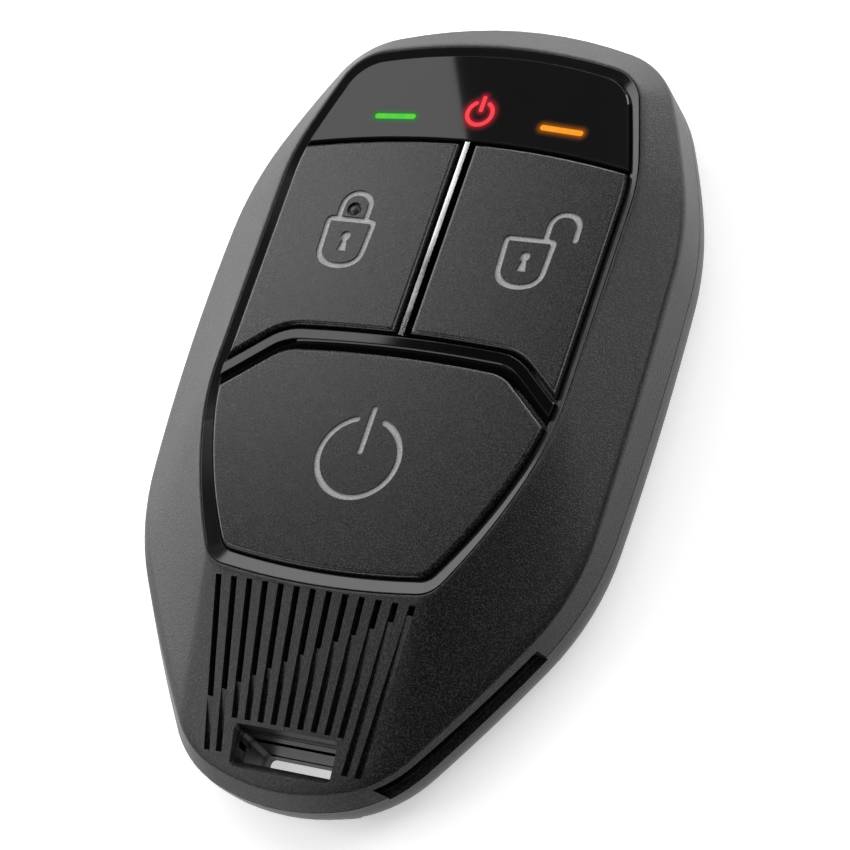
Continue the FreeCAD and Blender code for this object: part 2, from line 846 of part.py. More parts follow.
def switches():
    """The tactile switches and their plungers, one under each key."""
    places = {"lock": (-switch_x, switch_y), "unlock": (switch_x, switch_y),
              "power": (0.0, power_key_y)}
    shapes = {}
    seat = plunger_top-plunger_proud-plunger_seat
    for name, (x, y) in places.items():
        case = box(switch_size, (x, y), board_top)
        width = plunger_size+2*plunger_fit
        well = box((width, width, TALL), (x, y), seat-key_travel-0.05)
        shapes[name+"_switch"] = case.cut(well)
        size = (plunger_size, plunger_size, plunger_top-seat)
        shapes[name+"_switch_plunger"] = box(size, (x, y), seat)
    return shapes


def battery():
    """A coin cell whose can narrows to the smaller lid above."""
    rim = floor+cell_height-cell_rim
    can = rod(cell_radius, floor, rim, 0, cell_y)
    lid = Part.makeCone(cell_radius, cell_radius-cell_lid_inset, cell_rim, Vector(0, cell_y, rim))
    return can.fuse(lid).removeSplitter()


def battery_positive_contact():
    """A sprung tab that hangs from the board beside the can."""
    inner = cell_y+cell_radius+contact_gap
    foot_z = floor+contact_rise
    under = board_z-contact_sheet
    tail = inner+cell_leaf[2]
    side = [(inner, foot_z), (inner+contact_sheet, foot_z), (inner+contact_sheet, under),
            (tail, under), (tail, board_z), (inner, board_z)]
    return sheet_piece(side, 0.0, contact_width)


def battery_negative_contact():
    """A leaf spring that reaches down from the board to the middle of the cell's lid."""
    top = floor+cell_height+contact_gap
    return sheet_piece(leaf(cell_y, top, cell_leaf), 0.0, contact_width)


def sounder():
    """A round piezo sounder with its sound port in the middle."""
    body = rod(sounder_radius, floor, floor+sounder_height, 0, sounder_y)
    port = rod(sounder_port, floor+sounder_height-sounder_port_depth, TALL, 0, sounder_y)
    return body.cut(port)


def sounder_contacts():
    """Two leaf springs from the board to the sounder."""
    top = floor+sounder_height+contact_gap
    y = sounder_y+sounder_radius-sounder_contact_inset
    side = leaf(y, top, sounder_leaf)
    springs = [sheet_piece(side, x, sounder_contact_width)
               for x in (-sounder_contact_x, sounder_contact_x)]
    return Part.makeCompound(springs)


def leaf(y, low, lengths):
    """Side view of a leaf spring: its pad at y, the ramp up to the board and its tail there."""
    pad, ramp, tail = lengths
    under = board_z-contact_sheet
    start = y+pad/2
    end = start+ramp
    back = contact_sheet*0.8
    return [(y-pad/2, low), (start, low), (end, under), (end+tail, under),
            (end+tail, board_z), (end-back, board_z), (start-back, low+contact_sheet),
            (y-pad/2, low+contact_sheet)]


def sheet_piece(side, x, width):
    """A bent sheet from its side view, given as (y, z) points."""
    loop = [Vector(x-width/2, y, z) for y, z in side]
    return Part.Face(Part.makePolygon(loop+[loop[0]])).extrude(Vector(width, 0, 0))


def antenna_loop():
    """A bent wire loop that stands on the board."""
    wide = antenna_span/2
    w = antenna_wire
    legs = [box((w, w, antenna_height), (x, antenna_y), board_top) for x in (-wide, wide)]
    bar = box((antenna_span+w, w, w), (0, antenna_y), board_top+antenna_height)
    return bar.fuse(legs).removeSplitter()


def chips():
    return {"controller_chip": box(controller_size, controller_at, board_top),
            "radio_chip": box(radio_size, radio_at, board_top),
            "crystal": box(crystal_size, crystal_at, board_top)}


def build():
    """Every node's shape by name."""
    nodes = {"front_cover": front_cover(), "rear_cover": rear_cover(),
             "bezel_frame": bezel_frame(), "indicator_window": indicator_window(),
             "button_divider": button_divider(), "button_bridge": button_bridge(),
             "circuit_board": circuit_board(), "light_baffle": light_baffle(),
             "battery": battery(),
             "battery_positive_contact": battery_positive_contact(),
             "battery_negative_contact": battery_negative_contact(),
             "sounder": sounder(), "sounder_contacts": sounder_contacts(),
             "antenna_loop": antenna_loop()}
    for group in (keys(), switches(), leds(), light_guides(), chips()):
        nodes.update(group)
    return nodes


os.makedirs("parts", exist_ok=True)
for name, shape in build().items():
    shape.exportStep("parts/"+name+".step")
    box_of = shape.BoundBox
    print("%-26s solids %d valid %s volume %.1f z %.2f %.2f faces %d" % (
        name, len(shape.Solids), shape.isValid(), shape.Volume, box_of.ZMin, box_of.ZMax,
        len(shape.Faces)))
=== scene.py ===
import math

import bmesh
import bpy
from bpy.props import FloatProperty, FloatVectorProperty, IntProperty, PointerProperty
from mathutils import Matrix, Vector


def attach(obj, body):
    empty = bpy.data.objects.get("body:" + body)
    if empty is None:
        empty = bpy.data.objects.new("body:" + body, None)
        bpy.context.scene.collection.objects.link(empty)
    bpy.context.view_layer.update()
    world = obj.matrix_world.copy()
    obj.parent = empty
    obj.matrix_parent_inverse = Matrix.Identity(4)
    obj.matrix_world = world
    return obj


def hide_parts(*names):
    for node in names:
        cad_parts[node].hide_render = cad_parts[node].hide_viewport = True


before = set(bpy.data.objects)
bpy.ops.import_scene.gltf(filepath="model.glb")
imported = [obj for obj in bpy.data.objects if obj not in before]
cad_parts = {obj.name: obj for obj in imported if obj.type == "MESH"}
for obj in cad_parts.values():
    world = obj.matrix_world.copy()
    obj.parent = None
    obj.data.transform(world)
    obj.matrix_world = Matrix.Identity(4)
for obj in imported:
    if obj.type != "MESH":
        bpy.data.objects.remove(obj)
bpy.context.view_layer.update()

bl_info = {
    "name": "Car Alarm Remote",
    "version": (1, 0, 0),
    "blender": (4, 5, 0),
    "location": "3D View > Sidebar > Remote",
    "description": "Looks for a car alarm remote with three keys, lit signs and a sounder grille",
    "category": "Object",
}

MM = 0.001

# Case, in millimetres, as in the part's source
HALF_WIDTH = 23.2
TOP_END = 40.0
FOOT_END = -40.0
SEAM_Z = 5.6
SEAM_GAP = 0.12
WALL = 1.6
FLOOR = 1.5
RIM_Z = 12.7
LEDGE_Z = 10.9
LEDGE = 1.2
CASE_TOP = 12.8
REAR_ROUND = 4.6
HOLLOW_ROUND = REAR_ROUND-0.4*FLOOR
LIP_GAP = 0.1
LIP_WALL = 0.6
LIP_LOW = 3.0
LIP_HIGH = 6.4
LIP_END_Y = -31.0
SHOULDER_INSETS = (0.3, 0.25, 0.75, 0.95)
SHOULDER_HEIGHTS = (10.2, 10.0, 8.0, 7.5)
SHOULDER_FOOT_INSET = 1.2
SHOULDER_TOP_INSET = 0.4
SHOULDER_LIFT = 0.6
SHOULDER_FOOT_DROP = 0.3
SHOULDER_LEAN = 1.3
INNER_DROP = 0.75*WALL
BEZEL_INSETS = (0.9, 0.85, 0.85, 1.3)
BEZEL_FOOT_INSET = 1.4
BEZEL_TOP_INSET = 0.95

# A moved outline's corner cuts: their loss for each millimetre, and the least that stays
CUT_LOSS = 0.42
CUT_LEAST = 0.3

# Key-ring slot: half width and place of each end, its collar, and the rolled lip at its foot
SLOT_TOP = (5.1, -34.0)
SLOT_FOOT = (4.75, -38.06)
SLOT_ROUND = 0.5
TUBE_WALL = 1.1
COLLAR = 0.6
COLLAR_TOP = 6.8
COLLAR_REACH = 1.5
ROLL_EDGE_Y = -37.65
ROLL_FOOT = (4.9, -36.65)
ROLL_RADIUS = 1.35
ROLL_SPREAD = (0.01, 0.12)
TUBE_LOW = FLOOR-0.4
TUBE_CROP = 1.0
COLLAR_LOW = SEAM_Z-1.0

# Coin groove: its place, and its depth and heights in each cover
GROOVE_Y = FOOT_END+10.6
GROOVE_LENGTH = 15.2
GROOVE_FRONT = (1.2, SEAM_Z-1, SEAM_Z+1.15)
GROOVE_REAR = (0.7, SEAM_Z-0.55, SEAM_Z+1)

# Heights clear of the part, for cutters that go right through
BELOW = -1
ABOVE = 20

# Grille
GRILLE_COUNT = 13
GRILLE_PITCH = 1.64
GRILLE_PITCH_LOSS = 0.0245
GRILLE_TOP_Y = -21.3
GRILLE_BEHIND = 0.35
GRILLE_FOOT_Y = -33.5
GRILLE_LONG_FOOT_Y = -36.5
GRILLE_LONG_FROM = 4.5
GRILLE_MIDDLE_Y = -27
GRILLE_DIAGONAL = ((-8.45, -31.7), (9.35, -22.3))
GRILLE_FLOORS = (0.28, 0.95)

# Keys and trim
KEY_GAP = 0.15
TRIM_GAP = 0.35
BRIDGE_WIDTH = 1.75
DIVIDER_WIDTH = 0.9
BRIDGE_BEND = (11.7, 2.67)
BRIDGE_BOW = 0.5
BRIDGE_SLOPE = 0.87
BRIDGE_REACH = 18.0
BRIDGE_CUT = 1.6
BRIDGE_CUT_GAIN = 0.2
BRIDGE_LOW = 11.65
BRIDGE_TOP = 12.65
BRIDGE_FIT = 0.05
BRIDGE_FACE_FOOT = -0.2
BRIDGE_FALL = 0.85
BRIDGE_EDGE = 0.13
DIVIDER_EDGE = 0.14
WINDOW_FOOT_Y = 25.3
WINDOW_FOOT_RADIUS = 84.0
WINDOW_TOP = 12.65
KEY_LOW = 10.0
KEY_FLANGE_TOP = 10.7
KEY_FLANGE = 0.42
PLUNGER_TOP = 9.0
POST = 2.4
POST_TOP = CASE_TOP-1.5
POST_GAP = 0.02
SWITCH_AT = {"lock": (-8.7, 12.6), "unlock": (8.7, 12.6), "power": (0.0, -8.6)}

# Lugs and staked pegs that hold the board
PEG_X = 19.55
PEG_Y = 2.5
PEG = (1.1, 1.1, 1.3)
PEG_HEAD = (1.9, 1.9, 0.45)
LUG = (3.2, 3.4, 2.6)
LUG_SHIFT = 0.6
BOARD_Z = 6.0
BOARD_TOP = 7.0
PEG_LOW = BOARD_Z-0.1

# Coin cell and sounder ribs
CELL_Y = 9.5
CELL_RIB = (10.3, 2.6, 5.0)
SOUNDER_Y = -24.6
SOUNDER_RIB = (6.8, 2.0, 3.6)
RIB_WALL = 0.9

# How deep a piece reaches into the one that it joins
ROOT = 0.2

# Signs on the keys
LOCK_AT = (-9.1, 13.6)
UNLOCK_AT = (9.6, 13.4)
POWER_AT = (0.0, -8.6)
POWER_RADIUS = 4.0
STROKE_STEP = 0.004
DOT_AT = (-9.2, 16.7)
DOT_SINK = 0.32
DOT_RISE = 0.315

# Signs in the window, with the fade of their glow
GREEN_BAR = ((-10.35, 27.2), (-6.65, 27.45))
AMBER_BAR = ((7.05, 27.4), (10.95, 27.1))
RED_AT = (0.15, 28.4)
RED_RADIUS = 1.28
RED_STROKE = 0.22
RED_BAR = (0.35, 1.75)
BAR_STROKE = 0.29
LIT_LIFT = 0.002
LIT_RISE = 0.012
LIT_CORES = (("green", (0.16, 0.68, 0.05)), ("amber", (1.0, 0.42, 0.03)), ("red", (1.0, 0.07, 0.08)))
BAR_GLOW_START = 0.27
BAR_GLOW_MARGINS = (0.3, 0.4)
RED_GLOW_START = 0.2
RED_GLOW_MARGIN = 0.4
RED_GLOW_SHIFT = 0.2
GLOW_LIFT = 0.006
GLOW_STEP = 0.08
GLOW_LEAST = 0.003
GLOW_PEAK = 0.55
GLOW_FALL = 2.4
GLOW_STRENGTH = 0.6

# Camera
CAMERA_AT = (0.117668, -0.100233, 0.224286)
CAMERA_RIGHT = (0.892242, 0.299280, -0.338136)
CAMERA_UP = (-0.120037, 0.879077, 0.461318)
CAMERA_LENS = 121.705
SENSOR = 36.0
CLIP_START = 0.01

# Floor and backdrop, in millimetres
FLOOR_HALF = 1500
FLOOR_Z = -0.02
BACKDROP_RADIUS = 1450.0
BACKDROP_TOP = 2500.0

# Cards over the left, in millimetres, and the lamps' places and sizes, in metres
CARD_Z = 300.0
CARDS = (("card_main", ((-176, 240), (-171, 218), (-160.3, 196), (-160.7, 172.2), (-162.6, 144.4),
                        (-178, 118), (-260, 118), (-260, 240))),
         ("card_left", ((-262, 380), (-262, 100), (-620, 100), (-620, 380))))
LAMPS = (("lamp_a", (-0.09, 0.40, 0.44), (0.16, 0.16)), ("lamp_b", (-0.30, 0.39, 0.36), (0.16, 0.16)),
         ("back", (0.05, 0.80, 0.16), (0.90, 0.22)), ("side", (-0.80, 0.25, 0.14), (0.70, 0.24)),
         ("far", (0.42, 0.30, 0.50), (0.30, 0.30)),
         ("front_left", (-0.46, -0.21, 0.46), (0.36, 0.36)), ("upper", (0.11, 0.44, 0.53), (0.30, 0.30)),
         ("front", (-0.38, -0.76, 0.14), (0.50, 0.24)), ("overhead", (0.0, 0.05, 1.2), (1.6, 1.6)))
LAMP_AIM = (0, 0, 0.01)

# Shader nodes: the grain's name, a colour mix's sockets, and plain colours
GRAIN = "Moulded Grain"
MIX_FIRST = 6
MIX_SECOND = 7
MIX_RESULT = 2
BLACK = (0, 0, 0, 1)
WHITE = (1, 1, 1, 1)

# Polished parts: setting, material, roughness, eased edge in mm, unevenness, reflection and metal
GLOSS_PARTS = (("bezel", "bezel_black", 0.12, 0.12), ("window", "window_black", 0.03, 0.08, 0.0, 0.25),
               ("gloss", "bridge_black", 0.05, 0.14, 0.0, 0.35),
               ("trim", "bright_strip", 0.04, 0.001, 0.0, 0.5, 1.0))

# Clean-up of an outline: its least step, and how far it is cleared beside a turn of at least this much
LEAST_STEP = 0.02
CLEAR_TURN = math.radians(30)
CLEAR_INSET = 0.6
CLEAR_MORE = 0.15

# Angle in degrees above which an edge stays sharp, and steps in an outline's sides and corners
SHARP_ANGLE = 34
SIDE_STEPS = 10
CORNER_STEPS = 8


# ---- settings


def size_setting(name, text, default, low, high):
    """A setting in millimetres."""
    return FloatProperty(name=name, description=text+", in mm", default=default, min=low, max=high)


def share_setting(name, text, default, low=0.0, high=1.0):
    """A setting that is a share of a whole."""
    return FloatProperty(name=name, description=text, default=default, min=low, max=high,
                         subtype="FACTOR")


def colour_setting(name, text, default):
    """A colour that a user would change."""
    return FloatVectorProperty(name=name, description=text, default=default, size=3, min=0, max=1,
                               subtype="COLOR")


def light_setting(name, text, default):
    """How bright a card, a lamp or the surroundings are."""
    return FloatProperty(name=name, description="Brightness of the "+text, default=default, min=0, max=60)


class RemoteShape(bpy.types.PropertyGroup):
    """Sizes of the details that the looks add"""

    brow_round: size_setting("Brow Round", "How far the brow eases into the slope", 1.0, 0.1, 2.0)
    brow_inner: size_setting("Brow Inner Round", "How far the brow eases down the opening's wall",
                             0.3, 0.05, 1.0)
    shoulder_round: share_setting("Shoulder Round", "Share of each side of the shoulder that is rounded",
                                  0.11, 0.02, 0.5)
    key_round: size_setting("Key Round", "Radius of the keys' top edges", 0.42, 0.1, 0.8)
    sign_width: size_setting("Sign Width", "Width of the grooves of the keys' signs", 0.60, 0.2, 1.0)
    sign_depth: size_setting("Sign Depth", "Depth of the grooves of the keys' signs", 0.20, 0.05, 0.4)
    dot_radius: size_setting("Dot Radius", "Radius of the raised dot on the lock key", 0.62, 0.2, 1.2)
    glow_reach: size_setting("Glow Reach", "How far the lit signs glow over the window", 0.8, 0.1, 2.0)
    grille_width: size_setting("Grille Slot Width", "Width of a grille slot", 0.62, 0.2, 1.0)
    segments: IntProperty(name="Rounding Steps", description="Steps in each rounded edge",
                          default=7, min=2, max=16)


class RemoteFinish(bpy.types.PropertyGroup):
    """Colours and grain of the remote"""

    case: colour_setting("Case", "Grained charcoal plastic of both covers", (0.0060, 0.0060, 0.0061))
    keys: colour_setting("Keys", "Soft grained plastic of the three keys", (0.0050, 0.0050, 0.0051))
    gloss: colour_setting("Gloss Black", "Polished black of the bridge", (0.004, 0.004, 0.004))
    bezel: colour_setting("Bezel", "Dark polished frame round the keys", (0.010, 0.010, 0.010))
    window: colour_setting("Window", "Smoked indicator window", (0.009, 0.009, 0.009))
    trim: colour_setting("Bright Trim", "Bright strip between the upper keys", (0.78, 0.78, 0.79))
    sign: colour_setting("Sign Paint", "Silver paint in the keys' signs", (0.50, 0.50, 0.51))
    green: colour_setting("Green Light", "Green lit sign", (0.02, 0.60, 0.06))
    red: colour_setting("Red Light", "Red lit sign", (0.90, 0.045, 0.075))
    amber: colour_setting("Amber Light", "Amber lit sign", (0.95, 0.28, 0.015))
    grain_size: size_setting("Grain Size", "Size of the moulded grain", 0.14, 0.05, 1.0)
    grain_height: share_setting("Grain Height", "Height of the moulded grain", 0.6)


class RemoteStage(bpy.types.PropertyGroup):
    """Floor and lights"""

    floor: colour_setting("Floor", "Colour of the pale floor", (0.94, 0.94, 0.94))
    lift: share_setting("Floor Lift", "How much of its own light the floor shows", 0.5)
    ambient: light_setting("Ambient", "surroundings", 0.0)
    card_main: light_setting("Card", "card over the left", 3.6)
    card_left: light_setting("Left Card", "far left card", 3.0)
    lamp_a: light_setting("Lamp A", "small lamp behind", 1.5)
    lamp_b: light_setting("Lamp B", "small lamp at the upper left", 3.3)
    back: light_setting("Back", "low panel behind", 6.5)
    side: light_setting("Side", "low panel on the left", 4.8)
    far: light_setting("Far", "panel at the upper right", 3.6)
    front_left: light_setting("Front Left", "panel at the front left", 2.8)
    front: light_setting("Front", "low panel in front", 3.0)
    upper: light_setting("Upper", "panel above the far end", 1.0)
    overhead: light_setting("Overhead", "wide panel overhead", 0.68)


# ---- outlines


def mirrored(v):
    """The same vector on the other side of the middle plane."""
    return Vector((-v.x, v.y, v.z))


def moved_in(points, insets):
    """Corners of a clockwise loop moved inwards, each side by its inset."""
    result = []
    count = len(points)
    for i, p in enumerate(points):
        before = p-points[i-1]
        after = points[(i+1) % count]-p
        a = Vector((before.x, before.y)).normalized()
        b = Vector((after.x, after.y)).normalized()
        normal = Vector((a.y+b.y, -a.x-b.x))
        move = normal*(insets[i]*2.0/normal.length_squared)
        result.append(Vector((p.x+move.x, p.y+move.y, p.z)))
    return result


class Level:
    """One level of the case: right-hand corners from the top down, corner cuts, side and end bows."""

    def __init__(self, half, cuts, bows, foot_bow, top_bow):
        self.half = half
        self.cuts = list(cuts)
        self.bows = list(bows)
        self.foot_bow = foot_bow
        self.top_bow = top_bow

    def flat(self, z):
        """The same outline at one height."""
        return Level(at_height(self.half, z), self.cuts, at_height(self.bows, 0),
                     (self.foot_bow[0], 0), (self.top_bow[0], 0))

    def inset(self, insets, foot=None, top=None):
        """The outline moved inwards; foot and top are the insets in the middle of the ends."""
        if not isinstance(insets, tuple):
            insets = (insets,)*4
        foot = insets[3] if foot is None else foot
        top = insets[0] if top is None else top
        loop = self.half+[mirrored(p) for p in reversed(self.half)]
        half = moved_in(loop, list(insets)+list(reversed(insets)))[:4]
        cuts = [max(c-CUT_LOSS*i, CUT_LEAST) for c, i in zip(self.cuts, insets)]
        foot_bow = self.foot_bow[0]+(half[3].y-self.half[3].y)-foot
        top_bow = self.top_bow[0]-(half[0].y-self.half[0].y)-top
        return Level(half, cuts, self.bows, (foot_bow, self.foot_bow[1]),
                     (top_bow, self.top_bow[1]))

    def hidden(self):
        """The same outline with straight long sides, for the inside of the case."""
        return Level(self.half, self.cuts, [Vector()]*3, self.foot_bow, self.top_bow)

    def points(self):
        """Points round the outline, clockwise from above, the same number at each level."""
        corners = self.half+[mirrored(p) for p in reversed(self.half)]
        cuts = self.cuts+list(reversed(self.cuts))
        bows = self.bows+[Vector((0, -self.foot_bow[0], self.foot_bow[1]))]
        bows += [mirrored(b) for b in reversed(self.bows)]
        bows += [Vector((0, self.top_bow[0], self.top_bow[1]))]
        return rounded_loop(corners, cuts, bows)


def at_height(loop, z):
    """The loop's points at one height."""
    return [Vector((p.x, p.y, z)) for p in loop]


def on_side(a, b, bow, share):
    """A point on a bowed side."""
    return a.lerp(b, share)+bow*(4*share*(1-share))


def side_heading(a, b, bow, share):
    """The direction of a bowed side."""
    return ((b-a)+bow*(4*(1-2*share))).normalized()


def arc_between(p0, t0, p1, t1, steps):
    """Points of the arc from p0 to p1, without its last one."""
    chord = (p1-p0).length
    turn = t0.angle(t1, 0.0)
    weight = max(math.cos(turn/2), 0.05)
    apex = p0+t0*(chord/2/weight)
    result = []
    for k in range(steps):
        t = k/steps
        parts = ((1-t)**2, 2*weight*t*(1-t), t*t)
        result.append((p0*parts[0]+apex*parts[1]+p1*parts[2])/sum(parts))
    return result


def rounded_loop(corners, cuts, bows, side_steps=SIDE_STEPS, corner_steps=CORNER_STEPS):
    """A closed loop of points through corners that are cut back and rounded."""
    count = len(corners)
    result = []
    for i in range(count):
        j = (i+1) % count
        k = (i+2) % count
        side = (corners[i], corners[j], bows[i])
        after = (corners[j], corners[k], bows[j])
        start = cuts[i]/(corners[j]-corners[i]).length
        end = 1-cuts[j]/(corners[j]-corners[i]).length
        for step in range(side_steps):
            result.append(on_side(*side, start+(end-start)*step/side_steps))
        if cuts[j] < 1e-6:
            result.append(Vector(corners[j]))
            continue
        enter = cuts[j]/(corners[k]-corners[j]).length
        result += arc_between(on_side(*side, end), side_heading(*side, end),
                              on_side(*after, enter), side_heading(*after, enter), corner_steps)
    return result


def outward(a, b, distance):
    """A vector square to a right-hand side, out of the case."""
    return Vector((a.y-b.y, b.x-a.x, 0)).normalized()*distance


def seam_level():
    """The outline at the parting line."""
    half = [Vector((HALF_WIDTH-7.0, TOP_END-3.2, SEAM_Z)), Vector((HALF_WIDTH, TOP_END-20.4, SEAM_Z)),
            Vector((HALF_WIDTH, FOOT_END+23.4, SEAM_Z)), Vector((HALF_WIDTH-12.7, FOOT_END+2.8, SEAM_Z))]
    bows = [outward(a, b, d) for a, b, d in zip(half, half[1:], (0.45, 0.5, 0.4))]
    return Level(half, (5.2, 6.0, 6.5, 3.8), bows, (2.8, 0), (3.2, 0))


def lifted(bows):
    """Side bows with the rise of the long side between its corners."""
    return [bows[0], bows[1]+Vector((0, 0, SHOULDER_LIFT)), bows[2]]


def shoulder_level():
    """The outline at the shoulder's edge."""
    level = SEAM.inset(SHOULDER_INSETS, SHOULDER_FOOT_INSET, SHOULDER_TOP_INSET)
    half = [Vector((p.x, p.y, z)) for p, z in zip(level.half, SHOULDER_HEIGHTS)]
    return Level(half, (3.6, 5.0, 5.5, 3.0), lifted(level.bows),
                 (level.foot_bow[0], -SHOULDER_FOOT_DROP), level.top_bow)


def opening_level():
    """The outline of the opening for the keys, at the rim."""
    half = [Vector((14.8, 33.9, RIM_Z)), Vector((18.1, 22.55, RIM_Z)),
            Vector((17.8, -3.3, RIM_Z)), Vector((11.2, -20.45, RIM_Z))]
    bows = [Vector((0.1, 0, 0)), Vector(), Vector((0.75, -0.28, 0))]
    return Level(half, (2.8, 2.8, 3.9, 1.4), bows, (0.85, 0), (2.05, 0))


SEAM = seam_level()
SHOULDER = shoulder_level()
OPENING = opening_level()
BEZEL = OPENING.inset(BEZEL_INSETS, BEZEL_FOOT_INSET, BEZEL_TOP_INSET)


# ---- meshes


def new_piece(name, points, faces, material=None):
    """An object from points in millimetres."""
    mesh = bpy.data.meshes.new(name)
    mesh.from_pydata([tuple(Vector(p)*MM) for p in points], [], faces)
    bm = bmesh.new()
    bm.from_mesh(mesh)
    bmesh.ops.recalc_face_normals(bm, faces=bm.faces)
    bm.to_mesh(mesh)
    bm.free()
    piece = bpy.data.objects.new(name, mesh)
    bpy.context.scene.collection.objects.link(piece)
    if material:
        mesh.materials.append(material)
    return piece


def skin(rings, closed):
    """Points and faces of a surface through rings; closed joins the last ring to the first."""
    points = [p for ring in rings for p in ring]
    count = len(rings[0])
    faces = []
    spans = len(rings) if closed else len(rings)-1
    for r in range(spans):
        low = r*count
        high = ((r+1) % len(rings))*count
        for i in range(count):
            j = (i+1) % count
            faces.append((low+i, low+j, high+j, high+i))
    if not closed:
        faces.append(tuple(range(count)))
        faces.append(tuple(reversed(range((len(rings)-1)*count, len(rings)*count))))
    return points, faces


def prism(name, loop, low, high, material=None):
    """An upright prism on a loop of points."""
    return new_piece(name, *skin([at_height(loop, z) for z in (low, high)], False), material)


def block(name, size, centre, low):
    """An upright box by its size, its middle and its lowest height."""
    x, y = size[0]/2, size[1]/2
    loop = [Vector((centre[0]+a*x, centre[1]+b*y, 0)) for a, b in ((1, 1), (1, -1), (-1, -1), (-1, 1))]
    return prism(name, loop, low, low+size[2])


def tube_ring(name, outer, inner, low, high):
    """A wall between two loops with the same number of points."""
    rings = [at_height(loop, z) for loop, z in ((outer, low), (outer, high), (inner, high), (inner, low))]
    return new_piece(name, *skin(rings, True))


def discard(piece):
    """Takes a tool piece out again."""
    bpy.data.objects.remove(piece, do_unlink=True)


def combine(piece, tool, operation, transfer=False):
    """Boolean of a piece with a tool; the tool is used up."""
    modifier = piece.modifiers.new("cut", "BOOLEAN")
    modifier.operation = operation
    modifier.solver = "EXACT"
    modifier.object = tool
    if transfer:
        modifier.material_mode = "TRANSFER"
    apply_modifiers(piece)
    discard(tool)


def apply_modifiers(piece):
    """Bakes a piece's modifiers into its mesh."""
    bpy.context.view_layer.update()
    graph = bpy.context.evaluated_depsgraph_get()
    mesh = bpy.data.meshes.new_from_object(piece.evaluated_get(graph))
    old = piece.data
    piece.modifiers.clear()
    piece.data = mesh
    mesh.name = piece.name
    bpy.data.meshes.remove(old)


def merge(piece, others):
    """Joins other meshes into a piece as they are."""
    bm = bmesh.new()
    bm.from_mesh(piece.data)
    for other in others:
        bm.from_mesh(other.data)
        discard(other)
    bm.to_mesh(piece.data)
    bm.free()


def smooth(piece, angle=SHARP_ANGLE):
    """Smooth shading with sharp edges above an angle, in degrees."""
    piece.data.shade_smooth()
    piece.data.set_sharp_from_angle(angle=math.radians(angle))
    modifier = piece.modifiers.new("even", "WEIGHTED_NORMAL")
    modifier.mode = "FACE_AREA"
    modifier.weight = 100
    modifier.keep_sharp = True
    apply_modifiers(piece)


def eased(rings, index, before, after, steps):
    """The rings with one of them replaced by a rounding that starts before and ends after it."""
    a, b, c = rings[index-1], rings[index], rings[index+1]
    result = []
    for step in range(steps+1):
        t = step/steps
        ring = []
        for p, q, r in zip(a, b, c):
            start = q+(p-q).normalized()*before(p, q)
            end = q+(r-q).normalized()*after(q, r)
            ring.append(start*(1-t)**2+q*(2*t*(1-t))+end*t*t)
        result.append(ring)
    return rings[:index]+result+rings[index+1:]


def slot_loop(grow, z=0.0, corner=SLOT_ROUND, foot=SLOT_FOOT):
    """Outline of the key-ring slot, grown."""
    x1, y1 = SLOT_TOP
    x2, y2 = foot
    corners = [Vector((x1+grow, y1+grow, z)), Vector((x2+grow, y2-grow, z)),
               Vector((-x2-grow, y2-grow, z)), Vector((-x1-grow, y1+grow, z))]
    return rounded_loop(corners, [corner]*4, [Vector()]*4, 3, 5)


def face_height(y):
    """Height of the grille face on the middle line."""
    foot_y = FOOT_END+SHOULDER_FOOT_INSET
    foot_z = SHOULDER_HEIGHTS[3]-SHOULDER_FOOT_DROP
    return RIM_Z-(RIM_Z-foot_z)*(GRILLE_TOP_Y-y)/(GRILLE_TOP_Y-foot_y)


def chevron(offset):
    """The line of the bridge across the face from left to right, moved up by an offset."""
    x, y = BRIDGE_BEND
    lean = math.atan(BRIDGE_SLOPE)
    end = Vector((x+BRIDGE_REACH, y-BRIDGE_REACH*BRIDGE_SLOPE+offset/math.cos(lean), 0))
    right = Vector((x+offset*math.tan(lean/2), y+offset, 0))
    left = mirrored(right)
    cut = BRIDGE_CUT+BRIDGE_CUT_GAIN*offset
    bow = Vector((0, BRIDGE_BOW, 0))
    share = cut/(right-left).length
    middle = [on_side(left, right, bow, share+(1-2*share)*k/12) for k in range(13)]
    heading = side_heading(left, right, bow, 1-share)
    slope = (end-right).normalized()
    bend = arc_between(middle[-1], heading, right+slope*cut, slope, 6)[1:]+[right+slope*cut]
    half = bend+[end]
    return [mirrored(p) for p in reversed(half)]+middle+half


def beside_chevron(name, offset, side, low, high):
    """Everything above (side 1) or below (side -1) the bridge line."""
    line = chevron(offset)
    far = side*60.0
    loop = line+[Vector((line[-1].x, far, 0)), Vector((line[0].x, far, 0))]
    return prism(name, loop, low, high)


def quarter_turn(steps):
    """Angles from 0 to a right angle."""
    return [math.pi/2*step/steps for step in range(steps+1)]


def arc_points(centre, radius, start, end, steps):
    """Points of an arc; the angles are in degrees, clockwise from the top."""
    angles = [math.radians(start+(end-start)*k/steps) for k in range(steps+1)]
    return [Vector((centre[0]+radius*math.sin(a), centre[1]+radius*math.cos(a), 0)) for a in angles]


def disc_loop(radius, centre, steps):
    """The outline of a disc, clockwise from its top."""
    return arc_points(centre, radius, 0, 360, steps)[:-1]


